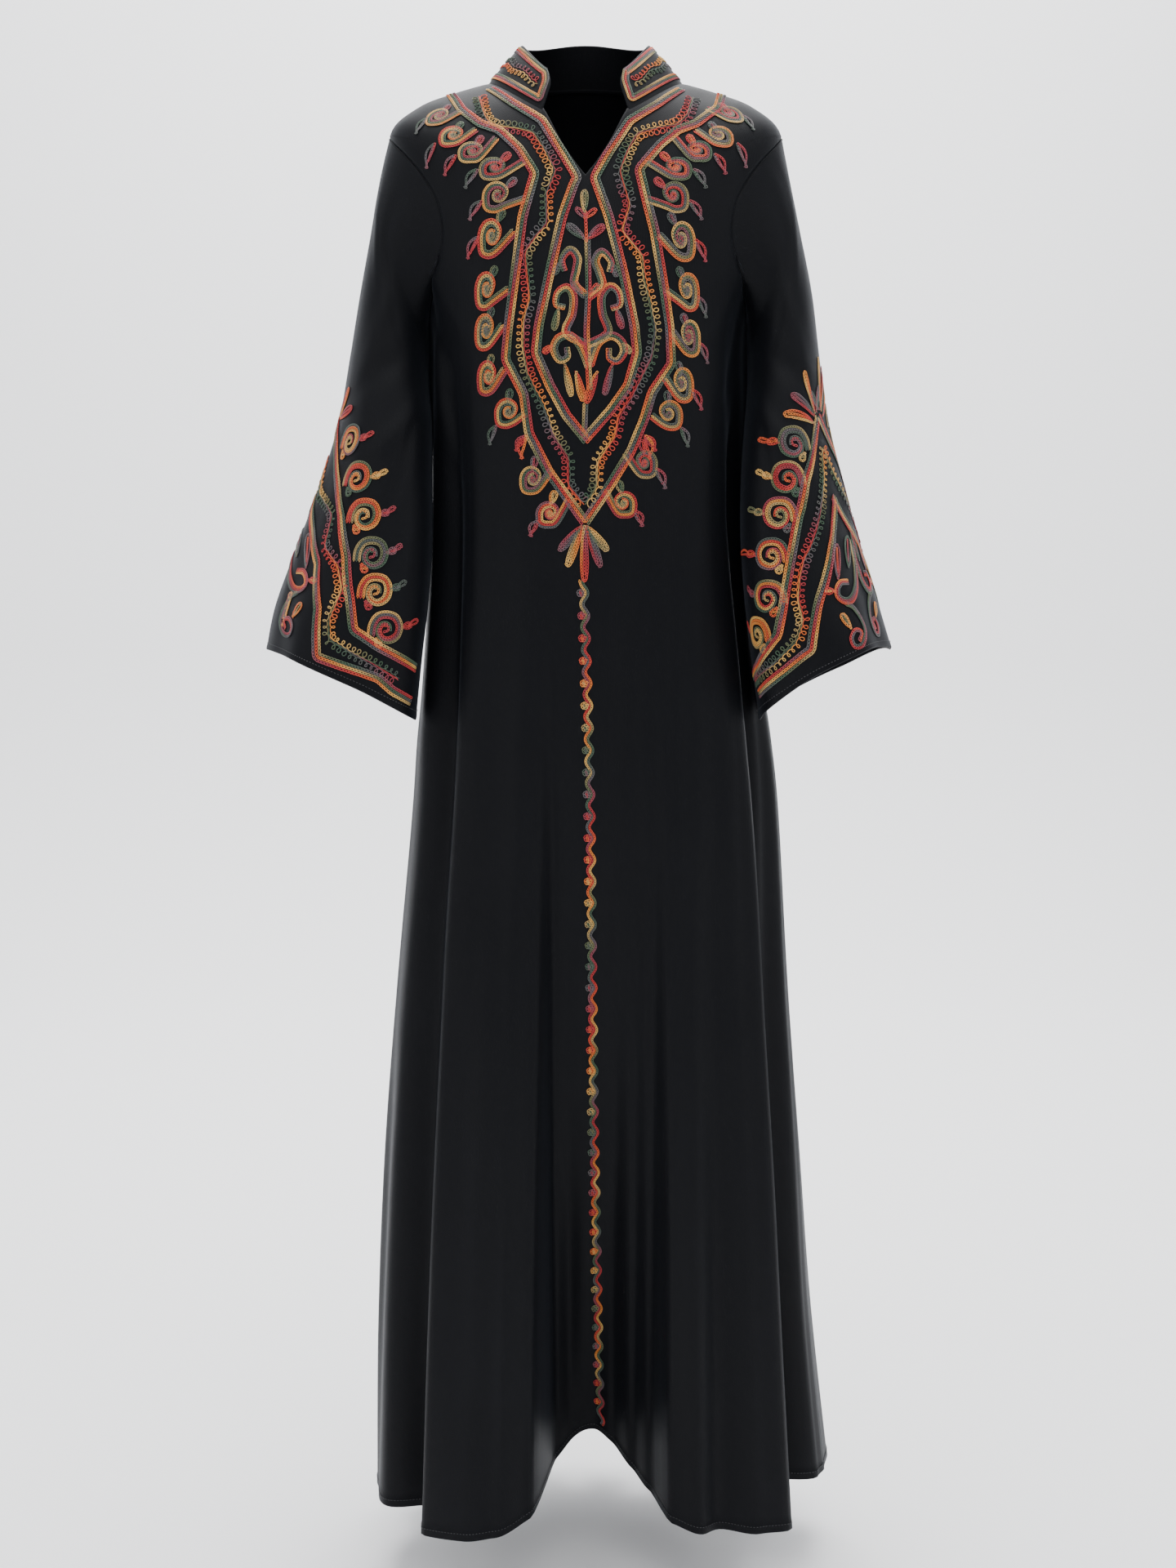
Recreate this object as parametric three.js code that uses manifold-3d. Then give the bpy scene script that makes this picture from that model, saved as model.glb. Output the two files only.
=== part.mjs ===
// Abaya in its worn, filled-out shape, hollow, with a split stand collar, a V neck, bell sleeves and
// raised chain-stitch borders. Millimetres, +Z up, front towards -Y, wearer's left towards +X.
// The origin is the centre of the neck base.

import * as THREE from 'three';
import { mergeVertices } from 'three/addons/utils/BufferGeometryUtils.js';
import Module from 'manifold-3d';

const wasm = await Module();
wasm.setup();

// Driving dimensions
const hemDrop = 1495;          // neck base down to the level hem
const neckHalf = 99;           // half width of the neck seam
const shoulderHalf = 202;      // half width at the top of the armholes
const clothThickness = 1.5;
const collarThickness = 2;
const seamGap = 0.35;          // between sewn pieces
const armholeGap = 1.5;        // from a panel's armhole edge to the sleeve, along the sleeve
const vHalfAngle = 30;         // where the V neck leaves the neck seam, from centre front
const vLevel = 1.85;           // section level of the bottom of the V
const workLift = 0.55;         // air under raised stitching
const workHeight = 1.4;        // height of raised stitching
const borderWidth = 11;        // three rows of chain stitch
const scrollWidth = 10;        // width of the band that curls into a scroll

// Cross-sections of the body from the neck seam to the hem. Heights at the side, the centre front and
// the centre back, half widths to the wearer's left and right, depths, and the power of the oval.
const bodySections = [
  { sideZ: 11, frontZ: -38, backZ: 20, left: neckHalf, right: neckHalf, front: 82, back: 68, power: 2 },
  { sideZ: 1, frontZ: -68, backZ: -12, left: 134, right: 134, front: 91, back: 82, power: 2.1 },
  { sideZ: -14, frontZ: -100, backZ: -48, left: 173, right: 173, front: 101, back: 93, power: 2.2 },
  {
    sideZ: -42, frontZ: -135, backZ: -85,
    left: shoulderHalf, right: shoulderHalf, front: 110, back: 100, power: 2.3,
  },
  { sideZ: -95, frontZ: -168, backZ: -130, left: 197, right: 192, front: 117, back: 104, power: 2.4 },
  { sideZ: -160, frontZ: -205, backZ: -185, left: 182, right: 175, front: 124, back: 106, power: 2.4 },
  { sideZ: -232, frontZ: -250, backZ: -243, left: 165, right: 160, front: 130, back: 106, power: 2.4 },
  { sideZ: -330, frontZ: -335, backZ: -330, left: 165, right: 159, front: 131, back: 103, power: 2.4 },
  { sideZ: -450, frontZ: -450, backZ: -450, left: 169, right: 163, front: 129, back: 101, power: 2.3 },
  { sideZ: -600, frontZ: -600, backZ: -600, left: 189, right: 174, front: 129, back: 108, power: 2.25 },
  { sideZ: -670, frontZ: -670, backZ: -670, left: 200, right: 181, front: 130, back: 114, power: 2.2 },
  { sideZ: -750, frontZ: -750, backZ: -750, left: 209, right: 187, front: 131, back: 120, power: 2.2 },
  { sideZ: -930, frontZ: -930, backZ: -930, left: 221, right: 204, front: 134, back: 131, power: 2.2 },
  { sideZ: -1120, frontZ: -1120, backZ: -1120, left: 236, right: 219, front: 138, back: 142, power: 2.2 },
  { sideZ: -1310, frontZ: -1310, backZ: -1310, left: 250, right: 227, front: 141, back: 151, power: 2.2 },
  {
    sideZ: -hemDrop, frontZ: -hemDrop, backZ: -hemDrop,
    left: 270, right: 228, front: 143, back: 160, power: 2.2,
  },
];
const armholeTop = 3;          // section level of the shoulder point
const armholeBottom = 6;       // section level of the underarm
const hemLevel = bodySections.length - 1;

// Flutes of the skirt, round from the wearer's right side seam: crests and valleys, with the angle at
// the hem, the angle high up, the reach at the hem, where each starts and how fast it deepens.
const flutes = [
  { hem: -90, upper: -90, reach: 0, start: -500, rate: 1 },
  { hem: -80, upper: -81, reach: 9, start: -600, rate: 1.3 },
  { hem: -70, upper: -71, reach: 22, start: -520, rate: 1.2 },
  { hem: -60, upper: -59, reach: -12, start: -300, rate: 0.8 },
  { hem: -53, upper: -51, reach: 46, start: -380, rate: 1.3 },
  { hem: -42, upper: -41, reach: 44, start: -420, rate: 1.5 },
  { hem: -33, upper: -31, reach: 36, start: -420, rate: 1.5 },
  { hem: -22, upper: -21, reach: 16, start: -420, rate: 1.5 },
  { hem: -16, upper: -13, reach: -96, start: -380, rate: 1.7 },
  { hem: -7, upper: -6, reach: -104, start: -380, rate: 1.7 },
  { hem: 4, upper: 4, reach: -104, start: -380, rate: 1.7 },
  { hem: 13, upper: 12, reach: -94, start: -400, rate: 1.6 },
  { hem: 22, upper: 21, reach: -72, start: -420, rate: 1.6 },
  { hem: 28, upper: 29, reach: -46, start: -430, rate: 1.6 },
  { hem: 33, upper: 37, reach: 14, start: -430, rate: 1.5 },
  { hem: 41, upper: 44, reach: 28, start: -430, rate: 1.3 },
  { hem: 47, upper: 50, reach: 17, start: -430, rate: 1.3 },
  { hem: 56, upper: 57, reach: 38, start: -400, rate: 1.1 },
  { hem: 62, upper: 62, reach: 44, start: -380, rate: 1 },
  { hem: 68, upper: 68, reach: -58, start: -330, rate: 1.1 },
  { hem: 77, upper: 76, reach: -50, start: -420, rate: 1.1 },
  { hem: 85, upper: 84, reach: -8, start: -420, rate: 1.1 },
  { hem: 90, upper: 90, reach: 0, start: -500, rate: 1 },
  { hem: 99, upper: 101, reach: 12, start: -620, rate: 1.2 },
  { hem: 109, upper: 112, reach: -24, start: -520, rate: 1.1 },
  { hem: 121, upper: 123, reach: 34, start: -560, rate: 1.3 },
  { hem: 132, upper: 135, reach: -16, start: -470, rate: 1.2 },
  { hem: 145, upper: 146, reach: 30, start: -430, rate: 1.4 },
  { hem: 157, upper: 158, reach: -30, start: -380, rate: 1.3 },
  { hem: 172, upper: 170, reach: 26, start: -420, rate: 1.4 },
  { hem: 185, upper: 183, reach: -14, start: -500, rate: 1.3 },
  { hem: 197, upper: 195, reach: 36, start: -440, rate: 1.4 },
  { hem: 209, upper: 207, reach: -28, start: -390, rate: 1.2 },
  { hem: 222, upper: 219, reach: 30, start: -470, rate: 1.3 },
  { hem: 234, upper: 232, reach: -20, start: -520, rate: 1.2 },
  { hem: 246, upper: 245, reach: 26, start: -580, rate: 1.3 },
  { hem: 258, upper: 257, reach: -16, start: -600, rate: 1.2 },
  { hem: 270, upper: 270, reach: 0, start: -500, rate: 1 },
];
const fluteTopZ = -250;        // above this the flute angles no longer turn

// Rows and columns of the panels
const yokeRows = 3;            // above the armholes
const armholeRows = 8;         // down one side of an armhole
const frontSkirtRows = 12;
const backSkirtRows = 10;
const roundedFrom = 6.5;       // folds wider than this many degrees get a column beside their crest
const besideCrest = 0.24;      // its share of the way from crest to valley
const drawIn = 0.17;           // how much the upper columns draw in ahead of the armholes

// Large creases that fade at both ends: angle, height of the middle, half length, depth, half width.
const creases = [
  { angle: -59, z: -540, halfLength: 250, depth: -9, halfWidth: 5 },
  { angle: -70, z: -460, halfLength: 230, depth: 5, halfWidth: 6 },
  { angle: 52, z: -560, halfLength: 260, depth: 7, halfWidth: 9 },
  { angle: 67, z: -520, halfLength: 260, depth: -10, halfWidth: 5 },
  { angle: 24, z: -620, halfLength: 240, depth: -5, halfWidth: 9 },
  { angle: 150, z: -330, halfLength: 190, depth: -8, halfWidth: 7 },
  { angle: 205, z: -360, halfLength: 210, depth: -8, halfWidth: 7 },
  { angle: 178, z: -520, halfLength: 200, depth: 6, halfWidth: 9 },
];

// The hem hangs higher at the centre front, where the cloth falls back between the front flutes.
const hemRise = { height: 64, angle: 3, halfWidth: 23, fromZ: -700 };

// Armhole depth as an angle in front of and behind the shoulder line; lens makes its two ends pointed.
const armhole = { front: 31, back: 25, lens: 0.45 };

// Sections of a sleeve from the armhole to the cuff. The outer and inner ends of each oval lie on the
// outer and inner lines of the sleeve; front and back are its depths either side of them.
const sleeveSections = [
  {
    outerLeft: 202, outerRight: 202, outerZ: -42, outerY: 0,
    innerLeft: 167, innerRight: 161, innerZ: -236, innerY: 0, front: 58, back: 60,
  },
  {
    outerLeft: 211, outerRight: 213, outerZ: -86, outerY: -2,
    innerLeft: 168, innerRight: 162, innerZ: -250, innerY: -3, front: 60, back: 60,
  },
  {
    outerLeft: 222, outerRight: 222, outerZ: -138, outerY: -4,
    innerLeft: 169, innerRight: 163, innerZ: -272, innerY: -9, front: 62, back: 59,
  },
  {
    outerLeft: 235, outerRight: 234, outerZ: -202, outerY: -8,
    innerLeft: 168, innerRight: 162, innerZ: -302, innerY: -26, front: 64, back: 62,
  },
  {
    outerLeft: 243, outerRight: 245, outerZ: -268, outerY: -13,
    innerLeft: 164, innerRight: 158, innerZ: -340, innerY: -44, front: 66, back: 62,
  },
  {
    outerLeft: 252, outerRight: 257, outerZ: -335, outerY: -20,
    innerLeft: 160, innerRight: 158, innerZ: -388, innerY: -60, front: 68, back: 64,
  },
  {
    outerLeft: 269, outerRight: 278, outerZ: -402, outerY: -26,
    innerLeft: 159, innerRight: 157, innerZ: -446, innerY: -71, front: 72, back: 68,
  },
  {
    outerLeft: 288, outerRight: 303, outerZ: -468, outerY: -32,
    innerLeft: 163, innerRight: 161, innerZ: -512, innerY: -78, front: 77, back: 74,
  },
  {
    outerLeft: 305, outerRight: 323, outerZ: -524, outerY: -38,
    innerLeft: 171, innerRight: 169, innerZ: -578, innerY: -80, front: 82, back: 78,
  },
  {
    outerLeft: 318, outerRight: 332, outerZ: -569, outerY: -42,
    innerLeft: 180, innerRight: 176, innerZ: -639, innerY: -76, front: 84, back: 86,
  },
];
const sleevePower = 2.25;
const cuffLevel = sleeveSections.length - 1;
const cuffLift = { left: 26, right: 14, level: 6 };   // the front of a cuff is cut higher
const sleeveLevels = [0, 0.5, 1, 1.7, 2.6, 3.5, 4.4, 5.3, 6.2, 7, 7.7, 8.4, cuffLevel];
const sleevePattern = { axis: 15, perDegree: 1.45, perLevel: 57 };   // flat size of the sleeve
const armholeBlend = 1.6;      // section levels over which the armhole curve turns into the ovals

// Soft flutes of a sleeve: turn from the outer line towards the front, reach at the cuff, first level.
const sleeveFlutes = [
  { turn: 0, reach: 2, start: 3 },
  { turn: 38, reach: -5, start: 4 },
  { turn: 74, reach: 7, start: 3 },
  { turn: 112, reach: -4, start: 4 },
  { turn: 150, reach: 4, start: 5 },
  { turn: 180, reach: 0, start: 3 },
  { turn: 214, reach: -6, start: 4 },
  { turn: 252, reach: 9, start: 3 },
  { turn: 296, reach: -9, start: 3 },
  { turn: 330, reach: 6, start: 4 },
  { turn: 360, reach: 2, start: 3 },
];

// Upper edge of the collar, and how far its seam stands above the neck edge.
const collarRise = 1;
const collarEnd = { lean: -2, round: 7 };   // degrees that the front ends lean and round off
const collarTop = { sideZ: 49, frontZ: 0, backZ: 61, left: 66, right: 66, front: 69, back: 53, power: 2 };

const radians = THREE.MathUtils.degToRad;
const clamp = THREE.MathUtils.clamp;
const lerp = THREE.MathUtils.lerp;

function wrap(turn) {
  return ((turn % 360) + 360) % 360;
}

function bell(x) {
  return Math.exp(-x * x);
}

// Smooth value of one column of a table at a level between its rows.
function tableAt(rows, column, level) {
  const last = rows.length - 1;
  const k = clamp(Math.floor(level), 0, last - 1);
  const t = level - k;
  const at = (i) => rows[clamp(i, 0, last)][column];
  const [a, b, c, d] = [at(k - 1), at(k), at(k + 1), at(k + 2)];
  return b + 0.5 * t * (c - a + t * (2 * a - 5 * b + 4 * c - d + t * (3 * (b - c) + d - a)));
}

function sectionAt(level) {
  const section = {};
  for (const column of Object.keys(bodySections[0])) {
    section[column] = tableAt(bodySections, column, level);
  }
  return section;
}

// Value round a ring of crests and valleys, level at each and smooth between them.
function betweenFolds(angle, angles, reaches) {
  let k = 0;
  while (k < angles.length - 2 && angle > angles[k + 1]) k += 1;
  const t = clamp((angle - angles[k]) / (angles[k + 1] - angles[k]), 0, 1);
  return lerp(reaches[k], reaches[k + 1], 0.5 - 0.5 * Math.cos(Math.PI * t));
}

function fluteAngles(z) {
  const t = clamp((fluteTopZ - z) / (fluteTopZ + hemDrop), 0, 1);
  return flutes.map((f) => lerp(f.upper, f.hem, t));
}

// How far the cloth stands out from the plain section.
function foldReach(angle, z) {
  const turned = angle < -90 ? angle + 360 : angle;
  const reaches = flutes.map((f) => f.reach * clamp((f.start - z) / (f.start + hemDrop), 0, 1) ** f.rate);
  let reach = betweenFolds(turned, fluteAngles(z), reaches);
  for (const c of creases) {
    reach += c.depth * bell((turned - c.angle) / c.halfWidth) * bell(((z - c.z) / c.halfLength) ** 2);
  }
  return reach;
}

// A point of an oval section at an angle from centre front, moved out along its plan normal.
function ovalPoint(section, angle, reachAt) {
  const sin = Math.sin(radians(angle));
  const cos = Math.cos(radians(angle));
  const across = sin > 0 ? section.left : section.right;
  const deep = cos > 0 ? section.front : section.back;
  const p = section.power;
  const radius = (Math.abs(sin / across) ** p + Math.abs(cos / deep) ** p) ** (-1 / p);
  const z = section.sideZ + ((cos > 0 ? section.frontZ : section.backZ) - section.sideZ) * cos * cos;
  const point = new THREE.Vector3(radius * sin, -radius * cos, z);
  const normal = new THREE.Vector3(
    Math.sign(sin) * Math.abs(point.x / across) ** (p - 1) / across,
    -Math.sign(cos) * Math.abs(point.y / deep) ** (p - 1) / deep,
    0,
  ).normalize();
  return point.addScaledVector(normal, reachAt(angle, z));
}

function bodyPoint(angle, level) {
  const point = ovalPoint(sectionAt(level), angle, foldReach);
  const lowered = clamp((hemRise.fromZ - point.z) / (hemRise.fromZ + hemDrop), 0, 1);
  const turned = angle > 180 ? angle - 360 : angle;
  point.z += hemRise.height * lowered * lowered * bell((turned - hemRise.angle) / hemRise.halfWidth);
  return point;
}

// Outward normal of a surface given by two parameters, from small steps along both.
function surfaceNormal(surface, a, b, stepA, stepB) {
  const alongA = surface(a + stepA, b).sub(surface(a - stepA, b));
  const alongB = surface(a, b + stepB).sub(surface(a, b - stepB));
  return alongB.cross(alongA).normalize();
}

function bodyNormal(angle, level) {
  const step = 0.02;
  const inside = clamp(level, step, hemLevel - step);
  return surfaceNormal(bodyPoint, angle, inside, 0.2, step);
}

// Armhole curve: turn 0 at the shoulder point, 180 at the underarm, the front half before 180.
function armholeAt(turn) {
  const front = turn <= 180;
  const down = front ? turn : 360 - turn;
  const depth = (front ? armhole.front : armhole.back) * Math.sin(radians(down));
  const eased = 0.5 - 0.5 * Math.cos(radians(down));
  const level = lerp(armholeTop, armholeBottom, lerp(eased, down / 180, armhole.lens));
  return { depth, level, front };
}

// The two facets of one cell of a grid, as [row, column] corners, split along its shorter diagonal.
function cellFacets(grid, i, j) {
  const columns = grid[0].length;
  const next = (j + 1) % columns;
  const [a, b, c, d] = [[i, j], [i + 1, j], [i + 1, next], [i, next]];
  const length = ([r, q], [s, t]) => grid[r][q].distanceTo(grid[s][t]);
  return length(a, c) <= length(b, d) ? [[a, b, c], [a, c, d]] : [[a, b, d], [b, c, d]];
}

// A closed wall between two grids of points, [row][column], with the facets of a guide grid. Rings
// join their last column to the first.
function wallBetween(outer, inner, guide, ring) {
  const rows = outer.length;
  const columns = outer[0].length;
  const points = [...outer.flat(), ...inner.flat()];
  const innerStart = rows * columns;
  const index = [];
  const quad = (a, b, c, d) => index.push(a, b, c, a, c, d);
  const spans = ring ? columns : columns - 1;
  const at = (i, j) => i * columns + (j % columns);
  for (let i = 0; i < rows - 1; i += 1) {
    for (let j = 0; j < spans; j += 1) {
      for (const facet of cellFacets(guide, i, j)) {
        const [a, b, c] = facet.map(([row, column]) => at(row, column));
        index.push(a, b, c, innerStart + a, innerStart + c, innerStart + b);
      }
    }
  }
  for (let j = 0; j < spans; j += 1) {
    const low = rows - 1;
    quad(at(0, j), at(0, j + 1), innerStart + at(0, j + 1), innerStart + at(0, j));
    quad(at(low, j), innerStart + at(low, j), innerStart + at(low, j + 1), at(low, j + 1));
  }
  for (let i = 0; i < rows - 1 && !ring; i += 1) {
    const end = columns - 1;
    quad(at(i, 0), innerStart + at(i, 0), innerStart + at(i + 1, 0), at(i + 1, 0));
    quad(at(i, end), at(i + 1, end), innerStart + at(i + 1, end), innerStart + at(i, end));
  }
  const geometry = new THREE.BufferGeometry().setFromPoints(points);
  geometry.setIndex(index);
  return geometry;
}

// Rows of a panel, each with its section level and how far the armhole cuts in from the side seam.
// They keep to the armhole's own steps, and lie wider apart down the skirt.
function panelRows(skirtRows, isFront) {
  const rows = [];
  for (let i = 0; i < yokeRows; i += 1) rows.push({ level: (armholeTop * i) / yokeRows, cut: 0 });
  for (let i = 0; i < armholeRows; i += 1) {
    const turn = (180 * i) / armholeRows;
    const { level, depth } = armholeAt(isFront ? turn : 360 - turn);
    rows.push({ level, cut: depth });
  }
  for (let i = 0; i <= skirtRows; i += 1) {
    rows.push({ level: lerp(armholeBottom, hemLevel, i / skirtRows), cut: 0 });
  }
  return rows;
}

// Column angles of a panel between two side seams. They keep to the crests and valleys, and wider
// folds have one more column close to their crest, which rounds it.
function panelColumns(first, last, level) {
  const angles = fluteAngles(sectionAt(level).sideZ);
  const columns = [];
  for (let k = first; k < last; k += 1) {
    columns.push(angles[k]);
    const rises = flutes[k + 1].reach > flutes[k].reach;
    if (flutes[k + 1].hem - flutes[k].hem > roundedFrom) {
      columns.push(lerp(angles[k], angles[k + 1], rises ? 1 - besideCrest : besideCrest));
    }
  }
  columns.push(angles[last]);
  return columns;
}

const sideFold = flutes.findIndex((f) => f.hem === 90);

// Gap at a side or shoulder seam as an angle of the section.
function seamAngle(level) {
  return THREE.MathUtils.radToDeg(seamGap / 2 / sectionAt(level).left);
}

// Outer points, normals and inner points of a cloth from its rows of surface samples.
function clothGrids(samples, thickness) {
  const outer = samples.map((row) => row.map(({ point }) => point));
  const normals = samples.map((row) => row.map(({ normal }) => normal));
  const inner = samples.map((row) => row.map(
    ({ point, normal }) => point.clone().addScaledVector(normal, -thickness),
  ));
  return { outer, normals, inner };
}

function panelGrids(rows, columnsAt, pointLevel) {
  const samples = rows.map((row) => columnsAt(row).map((angle) => {
    const v = pointLevel(angle, row.level);
    return { point: bodyPoint(angle, v), normal: bodyNormal(angle, v) };
  }));
  return clothGrids(samples, clothThickness);
}

// Towards the shoulder point the columns draw in ahead of the armhole, all but the last.
function drawnIn(outside, level) {
  const ahead = level > armholeTop ? 0 : drawIn * (level / armholeTop) ** 2;
  return outside * (1 - ahead * (1 - outside ** 6));
}

// The V neck lowers the first rows near centre front.
function frontLevel(angle, level) {
  const top = vLevel * clamp(1 - Math.abs(angle) / vHalfAngle, 0, 1);
  return level >= armholeTop ? level : lerp(top, armholeTop, level / armholeTop);
}

function frontPanel() {
  const columnsAt = ({ level, cut }) => {
    const edge = 90 - cut - seamAngle(level);
    return panelColumns(0, sideFold, level).map((angle) => {
      const outside = (Math.abs(angle) - vHalfAngle) / (90 - vHalfAngle);
      return outside > 0 ? Math.sign(angle) * lerp(vHalfAngle, edge, drawnIn(outside, level)) : angle;
    });
  };
  return panelGrids(panelRows(frontSkirtRows, true), columnsAt, frontLevel);
}

function backPanel() {
  const columnsAt = ({ level, cut }) => {
    const edge = 90 + cut + seamAngle(level);
    return panelColumns(sideFold, flutes.length - 1, level).map((angle) => {
      const outside = angle / 90 - 2;
      return 180 + Math.sign(outside) * drawnIn(Math.abs(outside), level) * (180 - edge);
    });
  };
  return panelGrids(panelRows(backSkirtRows, false), columnsAt, (angle, level) => level);
}

// Sleeve surface: side +1 for the wearer's left, turn from the outer line towards the front.
function sleevePoint(side, turn, level) {
  const value = (column) => tableAt(sleeveSections, column, level);
  const [outerX, innerX] = side > 0 ? ['outerLeft', 'innerLeft'] : ['outerRight', 'innerRight'];
  const outer = new THREE.Vector3(side * value(outerX), value('outerY'), value('outerZ'));
  const inner = new THREE.Vector3(side * value(innerX), value('innerY'), value('innerZ'));
  const wrapped = wrap(turn);
  const cos = Math.cos(radians(wrapped));
  const sin = Math.sin(radians(wrapped));
  const along = Math.sign(cos) * Math.abs(cos) ** (2 / sleevePower);
  const across = Math.sign(sin) * Math.abs(sin) ** (2 / sleevePower);
  const deep = sin > 0 ? value('front') : value('back');
  const reaches = sleeveFlutes.map((f) => f.reach * clamp((level - f.start) / (cuffLevel - f.start), 0, 1));
  const reach = betweenFolds(wrapped, sleeveFlutes.map((f) => f.turn), reaches);
  const middle = outer.clone().lerp(inner, 0.5);
  const half = outer.clone().sub(inner).multiplyScalar(0.5);
  const point = middle.addScaledVector(half, along * (1 + reach / half.length()));
  point.y -= across * (deep + reach);
  const lowered = clamp((level - cuffLift.level) / (cuffLevel - cuffLift.level), 0, 1);
  point.z += (side > 0 ? cuffLift.left : cuffLift.right) * lowered * lowered * Math.max(sin, 0);
  const t = clamp(level / armholeBlend, 0, 1);
  return armholePoint(side, wrapped).lerp(point, t * t * (3 - 2 * t));
}

function armholePoint(side, turn) {
  const { depth, level, front } = armholeAt(wrap(turn));
  return bodyPoint(side * (front ? 90 - depth : 90 + depth), level);
}

function armholeNormal(side, turn) {
  const { depth, level, front } = armholeAt(wrap(turn));
  return bodyNormal(side * (front ? 90 - depth : 90 + depth), level);
}

function sleeveNormal(side, turn, level) {
  const step = 0.02;
  const inside = clamp(level, step, cuffLevel - step);
  const normal = surfaceNormal((a, b) => sleevePoint(side, a, b), turn, inside, 1, step);
  return normal.multiplyScalar(-side);
}

// Direction in the cloth, square to the armhole's edge, from a body panel into the sleeve.
function armholeOutward(side, turn) {
  const edge = armholePoint(side, turn + 1).sub(armholePoint(side, turn - 1));
  return armholeNormal(side, turn).cross(edge).multiplyScalar(side).normalize();
}

// Turns run the way that faces the cloth outwards on either side. The last repeats the first.
function sleeveGrids(side) {
  const turns = Array.from({ length: 2 * armholeRows + 1 }, (_, j) => side * (180 - (180 * j) / armholeRows));
  const samples = sleeveLevels.map((level) => turns.map((turn) => {
    const point = sleevePoint(side, turn, level);
    if (level > 0) return { point, normal: sleeveNormal(side, turn, level) };
    // The sleeve goes on from the panel over the shoulder, and lies against it under the arm.
    const under = 0.5 - 0.5 * Math.cos(radians(turn));
    const panelNormal = armholeNormal(side, turn);
    point.addScaledVector(armholeOutward(side, turn), armholeGap * (1 - under));
    point.addScaledVector(panelNormal, armholeGap * under);
    return { point, normal: panelNormal.lerp(sleeveNormal(side, turn, 0), under ** 2).normalize() };
  }));
  const flat = sleeveLevels.map((level) => turns.map((turn) => new THREE.Vector2(
    -side * (turn - sleevePattern.axis) * sleevePattern.perDegree,
    (cuffLevel - level) * sleevePattern.perLevel,
  )));
  return { ...clothGrids(samples, clothThickness), flat };
}

// Stand collar on the neck seam, open between its two front ends.
function collarPoint(turn, rise) {
  const end = vHalfAngle + collarEnd.lean * rise + collarEnd.round * clamp((rise - 0.6) / 0.4, 0, 1) ** 2;
  const angle = lerp(end, 360 - end, turn);
  const plain = () => 0;
  const seam = ovalPoint(bodySections[0], angle > 180 ? angle - 360 : angle, plain);
  seam.z += collarRise;
  const edge = ovalPoint(collarTop, angle > 180 ? angle - 360 : angle, plain);
  return seam.lerp(edge, rise);
}

function collar() {
  const columns = 18;
  const rises = [0, 0.6, 0.85, 1];
  const outer = [];
  const inner = [];
  for (const rise of [...rises].reverse()) {
    const outerRow = [];
    const innerRow = [];
    for (let j = 0; j <= columns; j += 1) {
      const turn = clamp(j / columns, 0.01, 0.99);
      const point = collarPoint(j / columns, rise);
      const normal = surfaceNormal(collarPoint, turn, clamp(rise, 0.05, 0.95), 0.005, 0.05);
      outerRow.push(point);
      innerRow.push(point.clone().addScaledVector(normal, collarThickness));
    }
    outer.push(outerRow);
    inner.push(innerRow);
  }
  return wallBetween(outer, inner, outer, false);
}

// Solids in and out of the boolean library.
function toSolid(geometry) {
  const plain = geometry.index ? geometry.toNonIndexed() : geometry.clone();
  for (const name of Object.keys(plain.attributes)) {
    if (name !== 'position') plain.deleteAttribute(name);
  }
  const merged = mergeVertices(plain, 1e-4);
  const vertProperties = new Float32Array(merged.attributes.position.array);
  const triVerts = new Uint32Array(merged.index.array);
  return new wasm.Manifold(new wasm.Mesh({ numProp: 3, vertProperties, triVerts }));
}

function toGeometry(solid) {
  const mesh = solid.getMesh();
  const geometry = new THREE.BufferGeometry();
  geometry.setAttribute('position', new THREE.BufferAttribute(new Float32Array(mesh.vertProperties), 3));
  geometry.setIndex([...mesh.triVerts]);
  return geometry;
}

// A flat band of even width along a curve in the pattern plane; its width may taper to the end.
function flatBand(path, width, endWidth, steps) {
  const left = [];
  const right = [];
  for (let i = 0; i <= steps; i += 1) {
    const point = path.getPointAt(i / steps);
    const along = path.getTangentAt(i / steps);
    const half = lerp(width, endWidth, i / steps) / 2;
    left.push(new THREE.Vector2(point.x - along.y * half, point.y + along.x * half));
    right.unshift(new THREE.Vector2(point.x + along.y * half, point.y - along.x * half));
  }
  const shape = new THREE.Shape([...left, ...right]);
  const band = new THREE.ExtrudeGeometry(shape, { depth: 4, bevelEnabled: false, steps: 1 });
  return band.translate(0, 0, -1);
}

function curveThrough(points) {
  return new THREE.CatmullRomCurve3(points.map(([x, y]) => new THREE.Vector3(x, y, 0)), false, 'centripetal');
}

function mirrored(points) {
  return points.map(([x, y]) => [-x, y]);
}

// A scroll that leaves a border and curls in on itself; hand +1 curls to the left of its start.
function scroll(base, outward, hand, size) {
  const turns = 0.85;
  const start = Math.atan2(-outward.y, -outward.x);
  const centre = new THREE.Vector2(base.x + outward.x * size, base.y + outward.y * size);
  const points = [];
  const steps = 4;
  for (let i = 0; i <= steps; i += 1) {
    const t = i / steps;
    const radius = size * lerp(1, 0.36, t);
    const angle = start + hand * t * turns * 2 * Math.PI;
    points.push([centre.x + radius * Math.cos(angle), centre.y + radius * Math.sin(angle)]);
  }
  return flatBand(curveThrough(points), scrollWidth, scrollWidth * 0.7, steps);
}

// Scrolls set along the outer side of a border, closer together at its start.
function scrollsAlong(path, count, hand, size, crowding) {
  const scrolls = [];
  for (let i = 0; i < count; i += 1) {
    const t = ((i + 0.6) / count) ** crowding * 0.97;
    const along = path.getTangentAt(t);
    const outward = new THREE.Vector2(-along.y * hand, along.x * hand);
    scrolls.push(scroll(path.getPointAt(t), outward, -hand, size));
  }
  return scrolls;
}

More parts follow.
